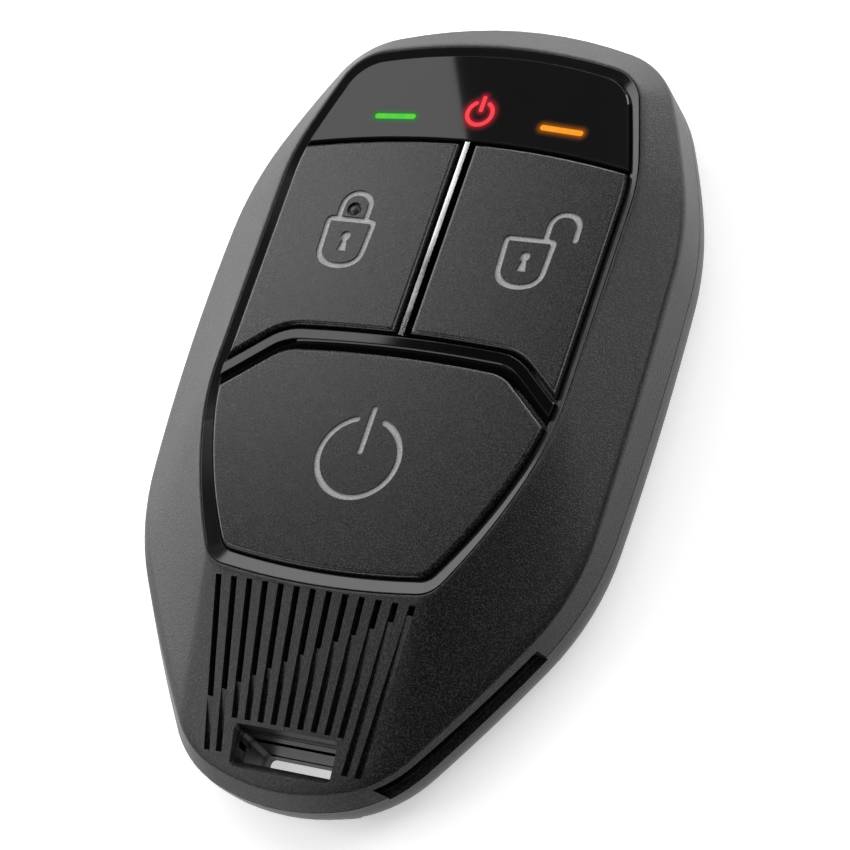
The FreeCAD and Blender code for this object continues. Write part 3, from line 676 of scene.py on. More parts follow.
def key_plan(side, grow):
    """The ordered outline of a key's plan: side -1 lock, 1 unlock, 0 power."""
    body = prism("plan", BEZEL.inset(KEY_GAP-grow).points(), 0, 1)
    if side == 0:
        combine(body, beside_chevron("cut", -BRIDGE_WIDTH/2-TRIM_GAP+grow, -1, -1, 2), "INTERSECT")
    else:
        disc = disc_loop(WINDOW_FOOT_RADIUS+grow-TRIM_GAP, (0, WINDOW_FOOT_Y-WINDOW_FOOT_RADIUS), 240)
        combine(body, prism("cut", disc, -1, 2), "INTERSECT")
        combine(body, beside_chevron("cut", BRIDGE_WIDTH/2+TRIM_GAP-grow, 1, -1, 2), "INTERSECT")
        inner = DIVIDER_WIDTH/2+TRIM_GAP-grow
        combine(body, block("cut", (40, 120, 3), (side*(inner+20), 0), -1), "INTERSECT")
    loop = top_loop(body)
    discard(body)
    return loop


def top_loop(body):
    """The ordered outline of a prism's upper face, in millimetres, clockwise from above."""
    bm = bmesh.new()
    bm.from_mesh(body.data)
    bmesh.ops.remove_doubles(bm, verts=bm.verts, dist=2e-6)
    top = max(v.co.z for v in bm.verts)
    faces = [f for f in bm.faces if all(abs(v.co.z-top) < 1e-6 for v in f.verts)]
    inside = set(faces)
    links = {}
    for face in faces:
        for edge in face.edges:
            if sum(f in inside for f in edge.link_faces) == 1:
                a, b = edge.verts
                links.setdefault(a, []).append(b)
                links.setdefault(b, []).append(a)
    start = next(iter(links))
    order = [start]
    previous = None
    while True:
        following = [v for v in links[order[-1]] if v is not previous]
        if not following or following[0] is start:
            break
        previous = order[-1]
        order.append(following[0])
    loop = [Vector((v.co.x/MM, v.co.y/MM, 0)) for v in order]
    bm.free()
    if sum(a.x*b.y-b.x*a.y for a, b in zip(loop, loop[1:]+loop[:1])) > 0:
        loop.reverse()
    return cleared([p for i, p in enumerate(loop) if (p-loop[i-1]).length > LEAST_STEP])


def cleared(loop):
    """The loop without the points beside its sharp corners that an inset would turn over."""
    count = len(loop)
    dropped = set()
    for i, p in enumerate(loop):
        turn = (p-loop[i-1]).angle(loop[(i+1) % count]-p)
        if turn < CLEAR_TURN:
            continue
        reach = CLEAR_INSET*math.tan(turn/2)+CLEAR_MORE
        for way in (-1, 1):
            j = (i+way) % count
            while (loop[j]-p).length < reach:
                dropped.add(j)
                j = (j+way) % count
    return [p for i, p in enumerate(loop) if i not in dropped]


# ---- materials


def preset(made, **values):
    """Sets a node's sockets by their names."""
    for name, value in values.items():
        made.inputs[name.replace("_", " ")].default_value = value
    return made


def node(tree, kind, place, **values):
    """A node with its sockets' values set by name."""
    made = tree.nodes.new(kind)
    made.location = place
    return preset(made, **values)


def maths(tree, operation, place):
    """A maths node."""
    made = node(tree, "ShaderNodeMath", place)
    made.operation = operation
    return made


def tint_node(tree, place, dark, pale):
    """A mix from a dark to a pale colour."""
    made = node(tree, "ShaderNodeMix", place)
    made.data_type = "RGBA"
    made.inputs[MIX_FIRST].default_value = (*dark, 1)
    made.inputs[MIX_SECOND].default_value = (*[min(1, c) for c in pale], 1)
    return made


def noise(tree, place, **values):
    """Noise in the object's own frame."""
    where = node(tree, "ShaderNodeTexCoord", (place[0]-200, place[1]))
    made = node(tree, "ShaderNodeTexNoise", place, **values)
    wire(tree, (where, "Object", made, "Vector"))
    return made


def times(colour, factor):
    """A colour made darker or paler."""
    return [c*factor for c in colour]


def wire(tree, *links):
    """Links, each from a node's output to a node's input."""
    for source, output, target, entry in links:
        tree.links.new(source.outputs[output], target.inputs[entry])


def new_material(name):
    """An empty node material with its Principled shader."""
    material = bpy.data.materials.new(name)
    material.use_nodes = True
    shader = material.node_tree.nodes["Principled BSDF"]
    return material, material.node_tree, shader


def grain_group():
    """Moulded grain: a height, a mask that is 1 on the high specks where glints are painted paler, and a
    slow drift.
    """
    if GRAIN in bpy.data.node_groups:
        return bpy.data.node_groups[GRAIN]
    group = bpy.data.node_groups.new(GRAIN, "ShaderNodeTree")
    face = group.interface
    face.new_socket("Size", in_out="INPUT", socket_type="NodeSocketFloat").default_value = 0.17
    for name in ("Height", "Specks", "Drift"):
        face.new_socket(name, in_out="OUTPUT", socket_type="NodeSocketFloat")
    enter = node(group, "NodeGroupInput", (-900, 0))
    leave = node(group, "NodeGroupOutput", (600, 0))
    place = node(group, "ShaderNodeTexCoord", (-900, -200))
    scale = maths(group, "DIVIDE", (-700, 0))
    scale.inputs[0].default_value = 1/MM
    fine = node(group, "ShaderNodeTexNoise", (-450, 100), Detail=2.0, Roughness=0.6)
    cells = node(group, "ShaderNodeTexVoronoi", (-450, -150), Randomness=1.0)
    broad = node(group, "ShaderNodeTexNoise", (-450, -400), Scale=60.0, Detail=3.0)
    mix = maths(group, "MULTIPLY_ADD", (-150, 0))
    mix.inputs[1].default_value = 0.55
    # Painted glint: the grain's high specks, which the plastic paints paler as if they caught the light
    glint_specks = node(group, "ShaderNodeMapRange", (150, -100), From_Min=0.78, From_Max=0.92)
    wire(group, (enter, "Size", scale, 1), (place, "Object", fine, "Vector"),
         (place, "Object", cells, "Vector"), (place, "Object", broad, "Vector"),
         (scale, 0, fine, "Scale"), (scale, 0, cells, "Scale"), (cells, "Distance", mix, 0),
         (fine, 0, mix, 2), (mix, 0, glint_specks, "Value"), (mix, 0, leave, "Height"),
         (glint_specks, "Result", leave, "Specks"), (broad, 0, leave, "Drift"))
    return group


def grained_plastic(name, colour, size, height, rough=(0.42, 0.62), lift=1.5):
    """Moulded plastic with fine grain as a real bump, its high specks painted paler as glints of light."""
    material, tree, shader = new_material(name)
    grain = node(tree, "ShaderNodeGroup", (-900, 0))
    grain.node_tree = grain_group()
    preset(grain, Size=size)
    # Painted glint: lift paints the grain's high specks paler than the base colour; the bump is the real
    # grain
    tint = tint_node(tree, (-400, 200), times(colour, 0.7), times(colour, lift))
    gloss = node(tree, "ShaderNodeMapRange", (-400, -50), To_Min=rough[0], To_Max=rough[1])
    bump = node(tree, "ShaderNodeBump", (-250, -300), Strength=height, Distance=0.04*MM)
    wire(tree, (grain, "Specks", tint, 0), (tint, MIX_RESULT, shader, "Base Color"),
         (grain, "Drift", gloss, "Value"), (gloss, "Result", shader, "Roughness"),
         (grain, "Height", bump, "Height"), (bump, "Normal", shader, "Normal"))
    return material


def polished(name, colour, rough, edge, ripple=0.02, specular=0.5, metallic=0.0):
    """Polished moulding with eased edges and a faint unevenness."""
    material, tree, shader = new_material(name)
    wave = noise(tree, (-700, 0), Scale=220.0, Detail=2.0)
    gloss = node(tree, "ShaderNodeMapRange", (-400, 0), To_Min=rough*0.7, To_Max=rough*1.4)
    tint = tint_node(tree, (-400, 250), times(colour, 0.9), times(colour, 1.1))
    soft = node(tree, "ShaderNodeBevel", (-500, -300), Radius=edge*MM)
    soft.samples = 6
    bump = node(tree, "ShaderNodeBump", (-250, -300), Strength=ripple, Distance=0.1*MM)
    wire(tree, (wave, 0, gloss, "Value"), (wave, 0, tint, 0),
         (tint, MIX_RESULT, shader, "Base Color"), (gloss, "Result", shader, "Roughness"),
         (wave, 0, bump, "Height"), (soft, "Normal", bump, "Normal"), (bump, "Normal", shader, "Normal"))
    preset(shader, Metallic=metallic, Specular_IOR_Level=specular)
    return material


def lit(name, colour, core, strength):
    """A lit sign with faint paler spots."""
    material, tree, shader = new_material(name)
    spots = noise(tree, (-700, 0), Scale=900.0, Detail=1.0)
    tint = tint_node(tree, (-400, 0), colour, core)
    wire(tree, (spots, 0, tint, 0), (tint, MIX_RESULT, shader, "Emission Color"))
    preset(shader, Base_Color=(0.01, 0.01, 0.01, 1), Emission_Strength=strength, Specular_IOR_Level=0.0)
    return material


def glowing(name, colour, strength):
    """A dull black material that gives an even light of its own."""
    material, tree, shader = new_material(name)
    preset(shader, Base_Color=BLACK, Emission_Color=(*colour, 1), Emission_Strength=strength,
           Specular_IOR_Level=0.0)
    return material, tree, shader


def halo(name, colour, strength):
    """The soft glow round a lit sign, from the mesh's own glow values."""
    material, tree, shader = glowing(name, colour, strength)
    glow = node(tree, "ShaderNodeAttribute", (-600, 0))
    glow.attribute_name = "glow"
    wire(tree, (glow, "Fac", shader, "Alpha"))
    return material


def worn_metal(name, colour, rough, stretch):
    """Bare metal with fine lines along one way."""
    material, tree, shader = new_material(name)
    place = node(tree, "ShaderNodeTexCoord", (-1100, 0))
    stretchy = node(tree, "ShaderNodeMapping", (-900, 0), Scale=stretch)
    lines = node(tree, "ShaderNodeTexNoise", (-700, 0), Scale=2500.0, Detail=4.0)
    gloss = node(tree, "ShaderNodeMapRange", (-400, 0), To_Min=rough*0.6, To_Max=rough*1.5)
    tint = tint_node(tree, (-400, 250), times(colour, 0.75), times(colour, 1.15))
    bump = node(tree, "ShaderNodeBump", (-250, -300), Strength=0.2, Distance=0.02*MM)
    wire(tree, (place, "Object", stretchy, "Vector"), (stretchy, 0, lines, "Vector"),
         (lines, 0, gloss, "Value"), (lines, 0, tint, 0), (lines, 0, bump, "Height"),
         (tint, MIX_RESULT, shader, "Base Color"), (gloss, "Result", shader, "Roughness"),
         (bump, "Normal", shader, "Normal"))
    preset(shader, Metallic=1.0)
    return material


def board_laminate(name):
    """Green board with copper tracks under the mask and a few bare pads."""
    material, tree, shader = new_material(name)
    place = node(tree, "ShaderNodeTexCoord", (-1100, 0))
    tracks = node(tree, "ShaderNodeTexBrick", (-800, 100), Scale=180.0, Mortar_Size=0.07,
                  Color1=(0.010, 0.085, 0.035, 1), Color2=(0.012, 0.105, 0.042, 1),
                  Mortar=(0.035, 0.20, 0.075, 1))
    pads = node(tree, "ShaderNodeTexVoronoi", (-800, -250), Scale=330.0, Randomness=0.4)
    spot = node(tree, "ShaderNodeMapRange", (-550, -250), From_Min=0.16, From_Max=0.13)
    tint = tint_node(tree, (-300, 100), (0, 0, 0), (0.55, 0.50, 0.42))
    bump = node(tree, "ShaderNodeBump", (-250, -300), Strength=0.3, Distance=0.05*MM)
    wire(tree, (place, "Object", tracks, "Vector"), (place, "Object", pads, "Vector"),
         (pads, "Distance", spot, "Value"), (spot, "Result", tint, 0),
         (tracks, "Color", tint, MIX_FIRST), (tint, MIX_RESULT, shader, "Base Color"),
         (spot, "Result", shader, "Metallic"), (tracks, "Fac", bump, "Height"),
         (bump, "Normal", shader, "Normal"))
    preset(shader, Roughness=0.35)
    return material


def clear_acrylic(name):
    """The clear light guides."""
    material, tree, shader = new_material(name)
    haze = noise(tree, (-700, 0), Scale=1500.0)
    gloss = node(tree, "ShaderNodeMapRange", (-400, 0), To_Min=0.05, To_Max=0.25)
    wire(tree, (haze, 0, gloss, "Value"), (gloss, "Result", shader, "Roughness"))
    preset(shader, Base_Color=(0.85, 0.88, 0.88, 1), Transmission_Weight=0.9)
    return material


def material(name, make, *values):
    """A material by name, made once."""
    return bpy.data.materials.get(name) or make(name, *values)


def case_plastic():
    """The grained charcoal plastic of both covers."""
    finish = bpy.context.scene.remote_finish
    # The last value paints the grain's high specks 5.5 times paler, a painted glint
    return material("case_grain", grained_plastic, tuple(finish.case), finish.grain_size,
                    finish.grain_height, (0.34, 0.44), 5.5)


def key_plastic():
    """The soft grained plastic of the keys."""
    finish = bpy.context.scene.remote_finish
    # The last value paints the grain's high specks 6.5 times paler, a painted glint
    return material("key_grain", grained_plastic, tuple(finish.keys), finish.grain_size*0.9,
                    finish.grain_height*0.35, (0.22, 0.28), 6.5)


def sign_paint():
    """The silver paint in the keys' signs."""
    finish = bpy.context.scene.remote_finish
    return material("sign_paint", grained_plastic, tuple(finish.sign), 0.1, 0.1, (0.38, 0.5), 1.15)


def dress(name, made):
    """Gives a carried-over node its material."""
    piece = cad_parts[name]
    piece.data.materials.clear()
    piece.data.materials.append(made)


# ---- covers


class REMOTE_OT_front_cover(bpy.types.Operator):
    """Front cover with its soft brow, grille, key-ring slot and coin groove"""

    bl_idname = "remote.front_cover"
    bl_label = "Front Cover"

    def execute(self, context):
        shape = context.scene.remote_shape
        steps = shape.segments
        cover = front_shell(shape, steps)
        for index in range(GRILLE_COUNT):
            combine(cover, grille_cutter(index, shape.grille_width), "DIFFERENCE")
        combine(cover, prism("cut", slot_loop(0.0, foot=ROLL_FOOT), 0, ABOVE), "DIFFERENCE")
        combine(cover, slot_mouth(steps), "DIFFERENCE")
        combine(cover, slot_neck(COLLAR+LIP_GAP, COLLAR_TOP+LIP_GAP), "DIFFERENCE")
        combine(cover, groove_cutter(*GROOVE_FRONT), "DIFFERENCE")
        merge(cover, lugs())
        cover.data.materials.clear()
        cover.data.materials.append(case_plastic())
        smooth(cover)
        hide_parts("front_cover")
        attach(cover, "front")
        return {"FINISHED"}


def front_shell(shape, steps):
    """The closed ring-like form of the front cover."""
    seam = SEAM.points()
    shoulder = SHOULDER.points()
    rim = OPENING.points()
    wall_foot = OPENING.flat(LEDGE_Z).points()
    ledge = OPENING.inset(-LEDGE).flat(LEDGE_Z).points()
    side = SEAM.inset(WALL).hidden()
    half = [Vector((p.x, p.y, z-INNER_DROP)) for p, z in zip(side.half, SHOULDER_HEIGHTS)]
    inner = Level(half, side.cuts, side.bows, (side.foot_bow[0], -SHOULDER_FOOT_DROP),
                  side.top_bow).points()
    inner_seam = side.points()
    end = SLOT_TOP[1]+TUBE_WALL
    hidden = []
    for ring in (ledge, inner, inner_seam):
        hidden.append([Vector((p.x, max(p.y, end), p.z)) for p in ring])
    rings = [seam, shoulder, rim, wall_foot]+hidden
    share = shape.shoulder_round
    rings = eased(rings, 2, lambda p, q: shape.brow_round, lambda q, r: shape.brow_inner, steps)
    rings = eased(rings, 1, lambda p, q: (p-q).length*share*SHOULDER_LEAN, lambda q, r: (r-q).length*share,
                  steps)
    return new_piece("front_cover_skin", *skin(rings, True))


def grille_cutter(index, width):
    """One grille slot: through above the diagonal, then a floor that sinks towards the foot."""
    step = index-(GRILLE_COUNT-1)/2
    foot_y = GRILLE_LONG_FOOT_Y if abs(step) > GRILLE_LONG_FROM else GRILLE_FOOT_Y

    def across(y):
        return step*(GRILLE_PITCH-GRILLE_PITCH_LOSS*(GRILLE_TOP_Y-y))

    (x1, y1), (x2, y2) = GRILLE_DIAGONAL
    split_y = y1+(y2-y1)/(x2-x1)*(across(GRILLE_MIDDLE_Y)-x1)
    start_y = GRILLE_TOP_Y-GRILLE_BEHIND
    side = [(start_y, 0), (split_y, 0), (split_y, face_height(split_y)-GRILLE_FLOORS[0]),
            (foot_y, face_height(foot_y)-GRILLE_FLOORS[1]), (foot_y, ABOVE), (start_y, ABOVE)]
    loops = [[Vector((across(y)+shift, y, z)) for y, z in side] for shift in (-width/2, width/2)]
    return new_piece("cut", *skin(loops, False))


def slot_mouth(steps):
    """Cutter for the key-ring slot's mouth, which rolls outwards to the sloping face."""
    x, y = ROLL_FOOT
    sweep = math.acos(1-(y-ROLL_EDGE_Y)/ROLL_RADIUS)
    low = face_height(ROLL_EDGE_Y)-ROLL_RADIUS*math.sin(sweep)
    rings = []
    for step in range(steps+1):
        angle = sweep*step/steps
        out = ROLL_RADIUS*(1-math.cos(angle))
        rings.append(slot_loop(ROLL_SPREAD[0]+ROLL_SPREAD[1]*out, low+ROLL_RADIUS*math.sin(angle),
                               foot=(x, y-out)))
    rings.append(at_height(rings[-1], ABOVE))
    return new_piece("mouth", *skin(rings, False))


def slot_neck(grow, high):
    """Cutter for the room of the rear cover's collar round the slot's upper end."""
    neck = prism("neck", slot_loop(grow, corner=0.0), SEAM_Z-SEAM_GAP-ROOT, high)
    reach = COLLAR_REACH+grow
    middle = SLOT_TOP[1]+grow-reach/2
    combine(neck, block("cut", (60, reach, 20), (0, middle), 0), "INTERSECT")
    return neck


def groove_cutter(inset, low, high):
    """A band of the case wall over the length of the coin groove, on the right."""
    band = tube_ring("band", SEAM.inset(-1.0).points(), SEAM.inset(inset).points(), low, high)
    combine(band, block("cut", (60, GROOVE_LENGTH, 60), (30, GROOVE_Y), -30), "INTERSECT")
    return band


def lugs():
    """Lugs inside the front cover and the staked pegs that hold the board."""
    made = []
    for x in (-PEG_X, PEG_X):
        made.append(block("lug", LUG, (x+math.copysign(LUG_SHIFT, x), PEG_Y), BOARD_TOP))
        made.append(block("peg", PEG, (x, PEG_Y), PEG_LOW))
        made.append(block("head", PEG_HEAD, (x, PEG_Y), BOARD_Z-PEG_HEAD[2]))
    return made


class REMOTE_OT_rear_cover(bpy.types.Operator):
    """Rear cover with its rounded sides, lip, slot tube and ribs"""

    bl_idname = "remote.rear_cover"
    bl_label = "Rear Cover"

    def execute(self, context):
        cover = rear_shell(context.scene.remote_shape.segments+3)
        combine(cover, prism("cut", slot_loop(0.0), BELOW, ABOVE), "DIFFERENCE")
        combine(cover, groove_cutter(*GROOVE_REAR), "DIFFERENCE")
        merge(cover, rear_fittings())
        cover.data.materials.append(case_plastic())
        smooth(cover)
        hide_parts("rear_cover")
        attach(cover, "rear")
        return {"FINISHED"}


def rear_shell(steps):
    """The closed form of the rear cover: outer skin, rim and hollow."""
    rings = []
    for angle in reversed(quarter_turn(steps)):
        sink = REAR_ROUND*(1-math.cos(angle))
        rings.append(SEAM.inset(sink).flat(REAR_ROUND*(1-math.sin(angle))).points())
    rim_z = SEAM_Z-SEAM_GAP
    rings.append(SEAM.flat(rim_z).points())
    rings.append(SEAM.inset(WALL).hidden().flat(rim_z).points())
    for angle in quarter_turn(3):
        sink = WALL+HOLLOW_ROUND*(1-math.cos(angle))
        height = FLOOR+HOLLOW_ROUND*(1-math.sin(angle))
        rings.append(SEAM.inset(sink).hidden().flat(height).points())
    return new_piece("rear_cover_skin", *skin(rings, False))


def rear_fittings():
    """Lip, slot tube, collar and ribs of the rear cover."""
    outer = SEAM.inset(WALL+LIP_GAP).hidden().points()
    inner = SEAM.inset(WALL+LIP_GAP+LIP_WALL).hidden().points()
    lip = tube_ring("lip", outer, inner, LIP_LOW, LIP_HIGH)
    combine(lip, block("cut", (80, 80, 20), (0, LIP_END_Y+40), 0), "INTERSECT")
    tube = tube_ring("tube", slot_loop(TUBE_WALL), slot_loop(0.0), TUBE_LOW, SEAM_Z-SEAM_GAP)
    combine(tube, prism("cut", SEAM.inset(TUBE_CROP).points(), BELOW, ABOVE), "INTERSECT")
    collar = tube_ring("collar", slot_loop(COLLAR), slot_loop(0.0), COLLAR_LOW, COLLAR_TOP)
    middle = SLOT_TOP[1]+COLLAR-COLLAR_REACH/2
    combine(collar, block("cut", (60, COLLAR_REACH, 20), (0, middle), 0), "INTERSECT")
    return [lip, tube, collar]+four_ribs(CELL_RIB, CELL_Y)+four_ribs(SOUNDER_RIB, SOUNDER_Y)


def four_ribs(sizes, y):
    """The four straight ribs round the coin cell or the sounder."""
    radius, height, length = sizes
    ribs = []
    for turn in (45, 135, 225, 315):
        rib = block("rib", (RIB_WALL, length, height+ROOT), (radius+RIB_WALL/2, 0), FLOOR-ROOT)
        rib.data.transform(Matrix.Translation((0, y*MM, 0)) @ Matrix.Rotation(math.radians(turn), 4, "Z"))
        ribs.append(rib)
    return ribs


# ---- keys


class REMOTE_OT_keys(bpy.types.Operator):
    """The three keys with their engraved signs and the raised dot"""

    bl_idname = "remote.keys"
    bl_label = "Keys"

    def execute(self, context):
        shape = context.scene.remote_shape
        steps = shape.segments
        for name, side in (("lock", -1), ("unlock", 1), ("power", 0)):
            cap = key_cap(name, side, shape, steps)
            for stroke in signs(name, shape):
                combine(cap, stroke, "DIFFERENCE", True)
            merge(cap, key_foot(name, side))
            smooth(cap)
            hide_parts(name+"_button")
            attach(cap, name+"_key")
        dot = raised_dot(shape)
        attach(dot, "lock_key")
        return {"FINISHED"}


def key_cap(name, side, shape, steps):
    """A key's cap with a rounded top edge."""
    loop = key_plan(side, 0.0)
    radius = shape.key_round
    rings = [at_height(loop, KEY_LOW)]
    for angle in quarter_turn(steps):
        ring = inset_loop(loop, radius*(1-math.cos(angle)))
        rings.append(at_height(ring, CASE_TOP-radius*(1-math.sin(angle))))
    return new_piece(name+"_key_cap", *skin(rings, False), key_plastic())


def inset_loop(loop, distance):
    """The loop moved inwards by one distance."""
    return moved_in(at_height(loop, 0), [distance]*len(loop))


def key_foot(name, side):
    """The key's flange and the post over its switch."""
    flange = prism("flange", key_plan(side, KEY_FLANGE), KEY_LOW, KEY_FLANGE_TOP)
    x, y = SWITCH_AT[name]
    post = block("post", (POST, POST, POST_TOP-PLUNGER_TOP), (x, y), PLUNGER_TOP+POST_GAP)
    return [flange, post]


def trench(loops, shape, order, painted):
    """A cutter for one stroke of a sign, mostly with a painted floor; order keeps floors apart."""
    low = CASE_TOP-shape.sign_depth-STROKE_STEP*order
    if len(loops) == 1:
        piece = prism("stroke", loops[0], low, CASE_TOP+1)
    else:
        piece = tube_ring("stroke", loops[0], loops[1], low, CASE_TOP+1)
    piece.data.materials.append(key_plastic())
    piece.data.materials.append(sign_paint())
    for face in piece.data.polygons:
        if painted and all(abs(piece.data.vertices[v].co.z-low*MM) < 1e-7 for v in face.vertices):
            face.material_index = 1
    return piece


def curve_through(points, bends, steps, closed=False):
    """A smooth line through corners, each rounded by its bend."""
    corners = [Vector((x, y, 0)) for x, y in points]
    if closed:
        return rounded_loop(corners, bends, [Vector()]*len(corners), 2, steps)
    line = [corners[0]]
    for i in range(1, len(corners)-1):
        before = (corners[i]-corners[i-1]).normalized()
        after = (corners[i+1]-corners[i]).normalized()
        start = corners[i]-before*bends[i]
        end = corners[i]+after*bends[i]
        line += arc_between(start, before, end, after, steps)+[end]
    return line+[corners[-1]]


def padlock_body(x, y):
    """The line round a padlock's body."""
    points = [(x-2.4, y+1.95), (x+2.4, y+1.95), (x+2.2, y-2.55), (x, y-3.2), (x-2.2, y-2.55)]
    return curve_through(points, [0.4, 0.4, 1.15, 0.9, 1.15], 6, True)


def keyhole(x, y):
    """The keyhole: a round and a short foot that widens."""
    foot = [(x-0.22, y), (x+0.22, y), (x+0.5, y-1.35), (x-0.5, y-1.35)]
    return [disc_loop(0.52, (x, y+0.25), 24), [Vector((*p, 0)) for p in foot]]


def signs(name, shape):
    """The cutters of one key's sign."""
    half = shape.sign_width/2
    if name == "power":
        x, y = POWER_AT
        ring = arc_points((x, y), POWER_RADIUS, 20, 340, 60)
        strokes = [[stroke_band(ring, half)], [bar_outline((x, y+0.6), (x, y+5.0), half)]]
    else:
        x, y = LOCK_AT if name == "lock" else UNLOCK_AT
        body = padlock_body(x, y)
        left = 1.45 if name == "unlock" else -1.45
        foot = 1.95 if name == "lock" else 2.3
        line = [(x+left, y+2.2), (x+left, y+4.9), (x+left+2.9, y+4.9), (x+left+2.9, y+foot)]
        shackle = curve_through(line, [0, 1.4, 1.4, 0], 8)
        strokes = [[inset_loop(body, -half), inset_loop(body, half)], [stroke_band(shackle, half)]]
        strokes += [[loop] for loop in keyhole(x, y-0.1)]
    if name == "lock":
        strokes.append([disc_loop(shape.dot_radius+0.12, DOT_AT, 32)])
    return [trench(loops, shape, order, order < 4) for order, loops in enumerate(strokes)]


def raised_dot(shape):
    """The raised dot that a finger finds on the lock key."""
    rings = []
    for angle in quarter_turn(8):
        loop = disc_loop(shape.dot_radius*math.cos(angle)+0.01, DOT_AT, 32)
        rings.append(at_height(loop, CASE_TOP-DOT_SINK+DOT_RISE*math.sin(angle)))
    made = material("dot_plastic", grained_plastic, (0.02, 0.02, 0.02), 0.2, 0.1, (0.3, 0.4), 1.2)
    dot = new_piece("lock_key_dot", *skin(rings, False), made)
    smooth(dot, 60)
    return dot


# ---- window, trim and frame


class REMOTE_OT_trim(bpy.types.Operator):
    """Bridge between the keys, and materials of the frame, window and bright strip"""

    bl_idname = "remote.trim"
    bl_label = "Frame and Trim"

    def execute(self, context):
        finish = context.scene.remote_finish
        gloss = {name: material(made, polished, tuple(getattr(finish, name)), *values)
                 for name, made, *values in GLOSS_PARTS}
        dress("bezel_frame", gloss["bezel"])
        dress("indicator_window", gloss["window"])
        dress("button_divider", gloss["trim"])
        bridge = bridge_bar(gloss["gloss"])
        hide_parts("button_bridge")
        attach(bridge, "front")
        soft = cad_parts["button_divider"].modifiers.new("soft edges", "BEVEL")
        soft.width = DIVIDER_EDGE*MM
        soft.segments = 2
        soft.limit_method = "ANGLE"
        soft.angle_limit = math.radians(60)
        return {"FINISHED"}


def bridge_bar(made):
    """The bridge: a narrow face with a thin upper edge, and a steep fall towards the power key."""
    half = BRIDGE_WIDTH/2
    slant = BRIDGE_EDGE/2
    profile = ((half, BRIDGE_LOW), (half, BRIDGE_TOP-BRIDGE_EDGE), (half-BRIDGE_EDGE, BRIDGE_TOP),
               (BRIDGE_FACE_FOOT, BRIDGE_TOP), (BRIDGE_FACE_FOOT-slant, BRIDGE_TOP-slant),
               (-half, BRIDGE_TOP-BRIDGE_FALL), (-half, BRIDGE_LOW))
    rows = [at_height(chevron(offset), z) for offset, z in profile]
    bar = new_piece("bridge_bar", *skin(list(zip(*rows)), False), made)
    combine(bar, prism("cut", BEZEL.inset(BRIDGE_FIT).points(), 0, ABOVE), "INTERSECT")
    smooth(bar, 25)
    return bar


class REMOTE_OT_lit_signs(bpy.types.Operator):
    """The green, red and amber lit signs in the window, with their glow"""

    bl_idname = "remote.lit_signs"
    bl_label = "Lit Signs"

    def execute(self, context):
        finish = context.scene.remote_finish
        reach = context.scene.remote_shape.glow_reach
        lights = []
        for name, core in LIT_CORES:
            colour = tuple(getattr(finish, name))
            lights.append((material(name+"_light", lit, colour, core, 1.0),
                           material(name+"_halo", halo, colour, GLOW_STRENGTH)))
        (green, green_halo), (amber, amber_halo), (red, red_halo) = lights
        for piece, slot in ((lit_bar("green_sign", GREEN_BAR, green), "led_green"),
                            (lit_bar("amber_sign", AMBER_BAR, amber), "led_amber"),
                            (lit_power(red), "led_red"),
                            (glow_bar("green_glow", GREEN_BAR, reach, green_halo), "led_green"),
                            (glow_bar("amber_glow", AMBER_BAR, reach, amber_halo), "led_amber"),
                            (glow_ring("red_glow", reach, red_halo), "led_red")):
            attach(piece, "front")
        return {"FINISHED"}


def bar_outline(a, b, half):
    """The outline of a round-ended bar."""
    return stroke_band([Vector((*a, 0)), Vector((*b, 0))], half, 12)


def lit_bar(name, ends, made):
    """A lit bar, a hair above the window."""
    return prism(name, bar_outline(*ends, BAR_STROKE), WINDOW_TOP, WINDOW_TOP+LIT_RISE, made)


def lit_power(made):
    """The lit power sign: an open ring and a bar."""
    x, y = RED_AT
    ring = stroke_band(arc_points((x, y), RED_RADIUS, 32, 328, 48), RED_STROKE)
    bar = bar_outline((x, y+RED_BAR[0]), (x, y+RED_BAR[1]), RED_STROKE)
    low = WINDOW_TOP+LIT_LIFT
    piece = prism("red_sign", ring, low, low+LIT_RISE, made)
    merge(piece, [prism("bar", bar, low, low+LIT_RISE+LIT_LIFT)])
    return piece


def stroke_band(line, half, steps=8):
    """The outline of a stroke with round ends along a line."""
    left, right = [], []
    for i, p in enumerate(line):
        a = line[max(i-1, 0)]
        b = line[min(i+1, len(line)-1)]
        heading = (b-a).normalized()
        side = Vector((-heading.y, heading.x, 0))*half
        left.append(p+side)
        right.append(p-side)
    ends = []
    for p, q in ((line[-1], line[-2]), (line[0], line[1])):
        heading = (p-q).normalized()
        side = Vector((-heading.y, heading.x, 0))
        ends.append([p+(side*math.cos(t)+heading*math.sin(t))*half
                     for t in [math.pi*k/steps for k in range(1, steps)]])
    return left+ends[0]+list(reversed(right))+ends[1]


def glow_sheet(name, centre, half, glow_at, made):
    """A fine sheet over the window whose glow fades by distance from the sign."""
    across, along = (max(2, round(2*h/GLOW_STEP)) for h in half)
    points, values, faces = [], [], []
    for j in range(along+1):
        for i in range(across+1):
            x = centre[0]-half[0]+2*half[0]*i/across
            y = centre[1]-half[1]+2*half[1]*j/along
            points.append((x, y, WINDOW_TOP+GLOW_LIFT))
            values.append(glow_at(x, y))
    for j in range(along):
        for i in range(across):
            k = j*(across+1)+i
            if max(values[k], values[k+1], values[k+across+1], values[k+across+2]) > GLOW_LEAST:
                faces.append((k, k+1, k+across+2, k+across+1))
    sheet = new_piece(name, points, faces, made)
    glow = sheet.data.attributes.new("glow", "FLOAT", "POINT")
    glow.data.foreach_set("value", values)
    sheet.visible_shadow = False
    return sheet


def faded(distance, reach):
    """Glow that falls off from the edge of a sign."""
    return GLOW_PEAK*min(max(1-distance/reach, 0.0), 1.0)**GLOW_FALL


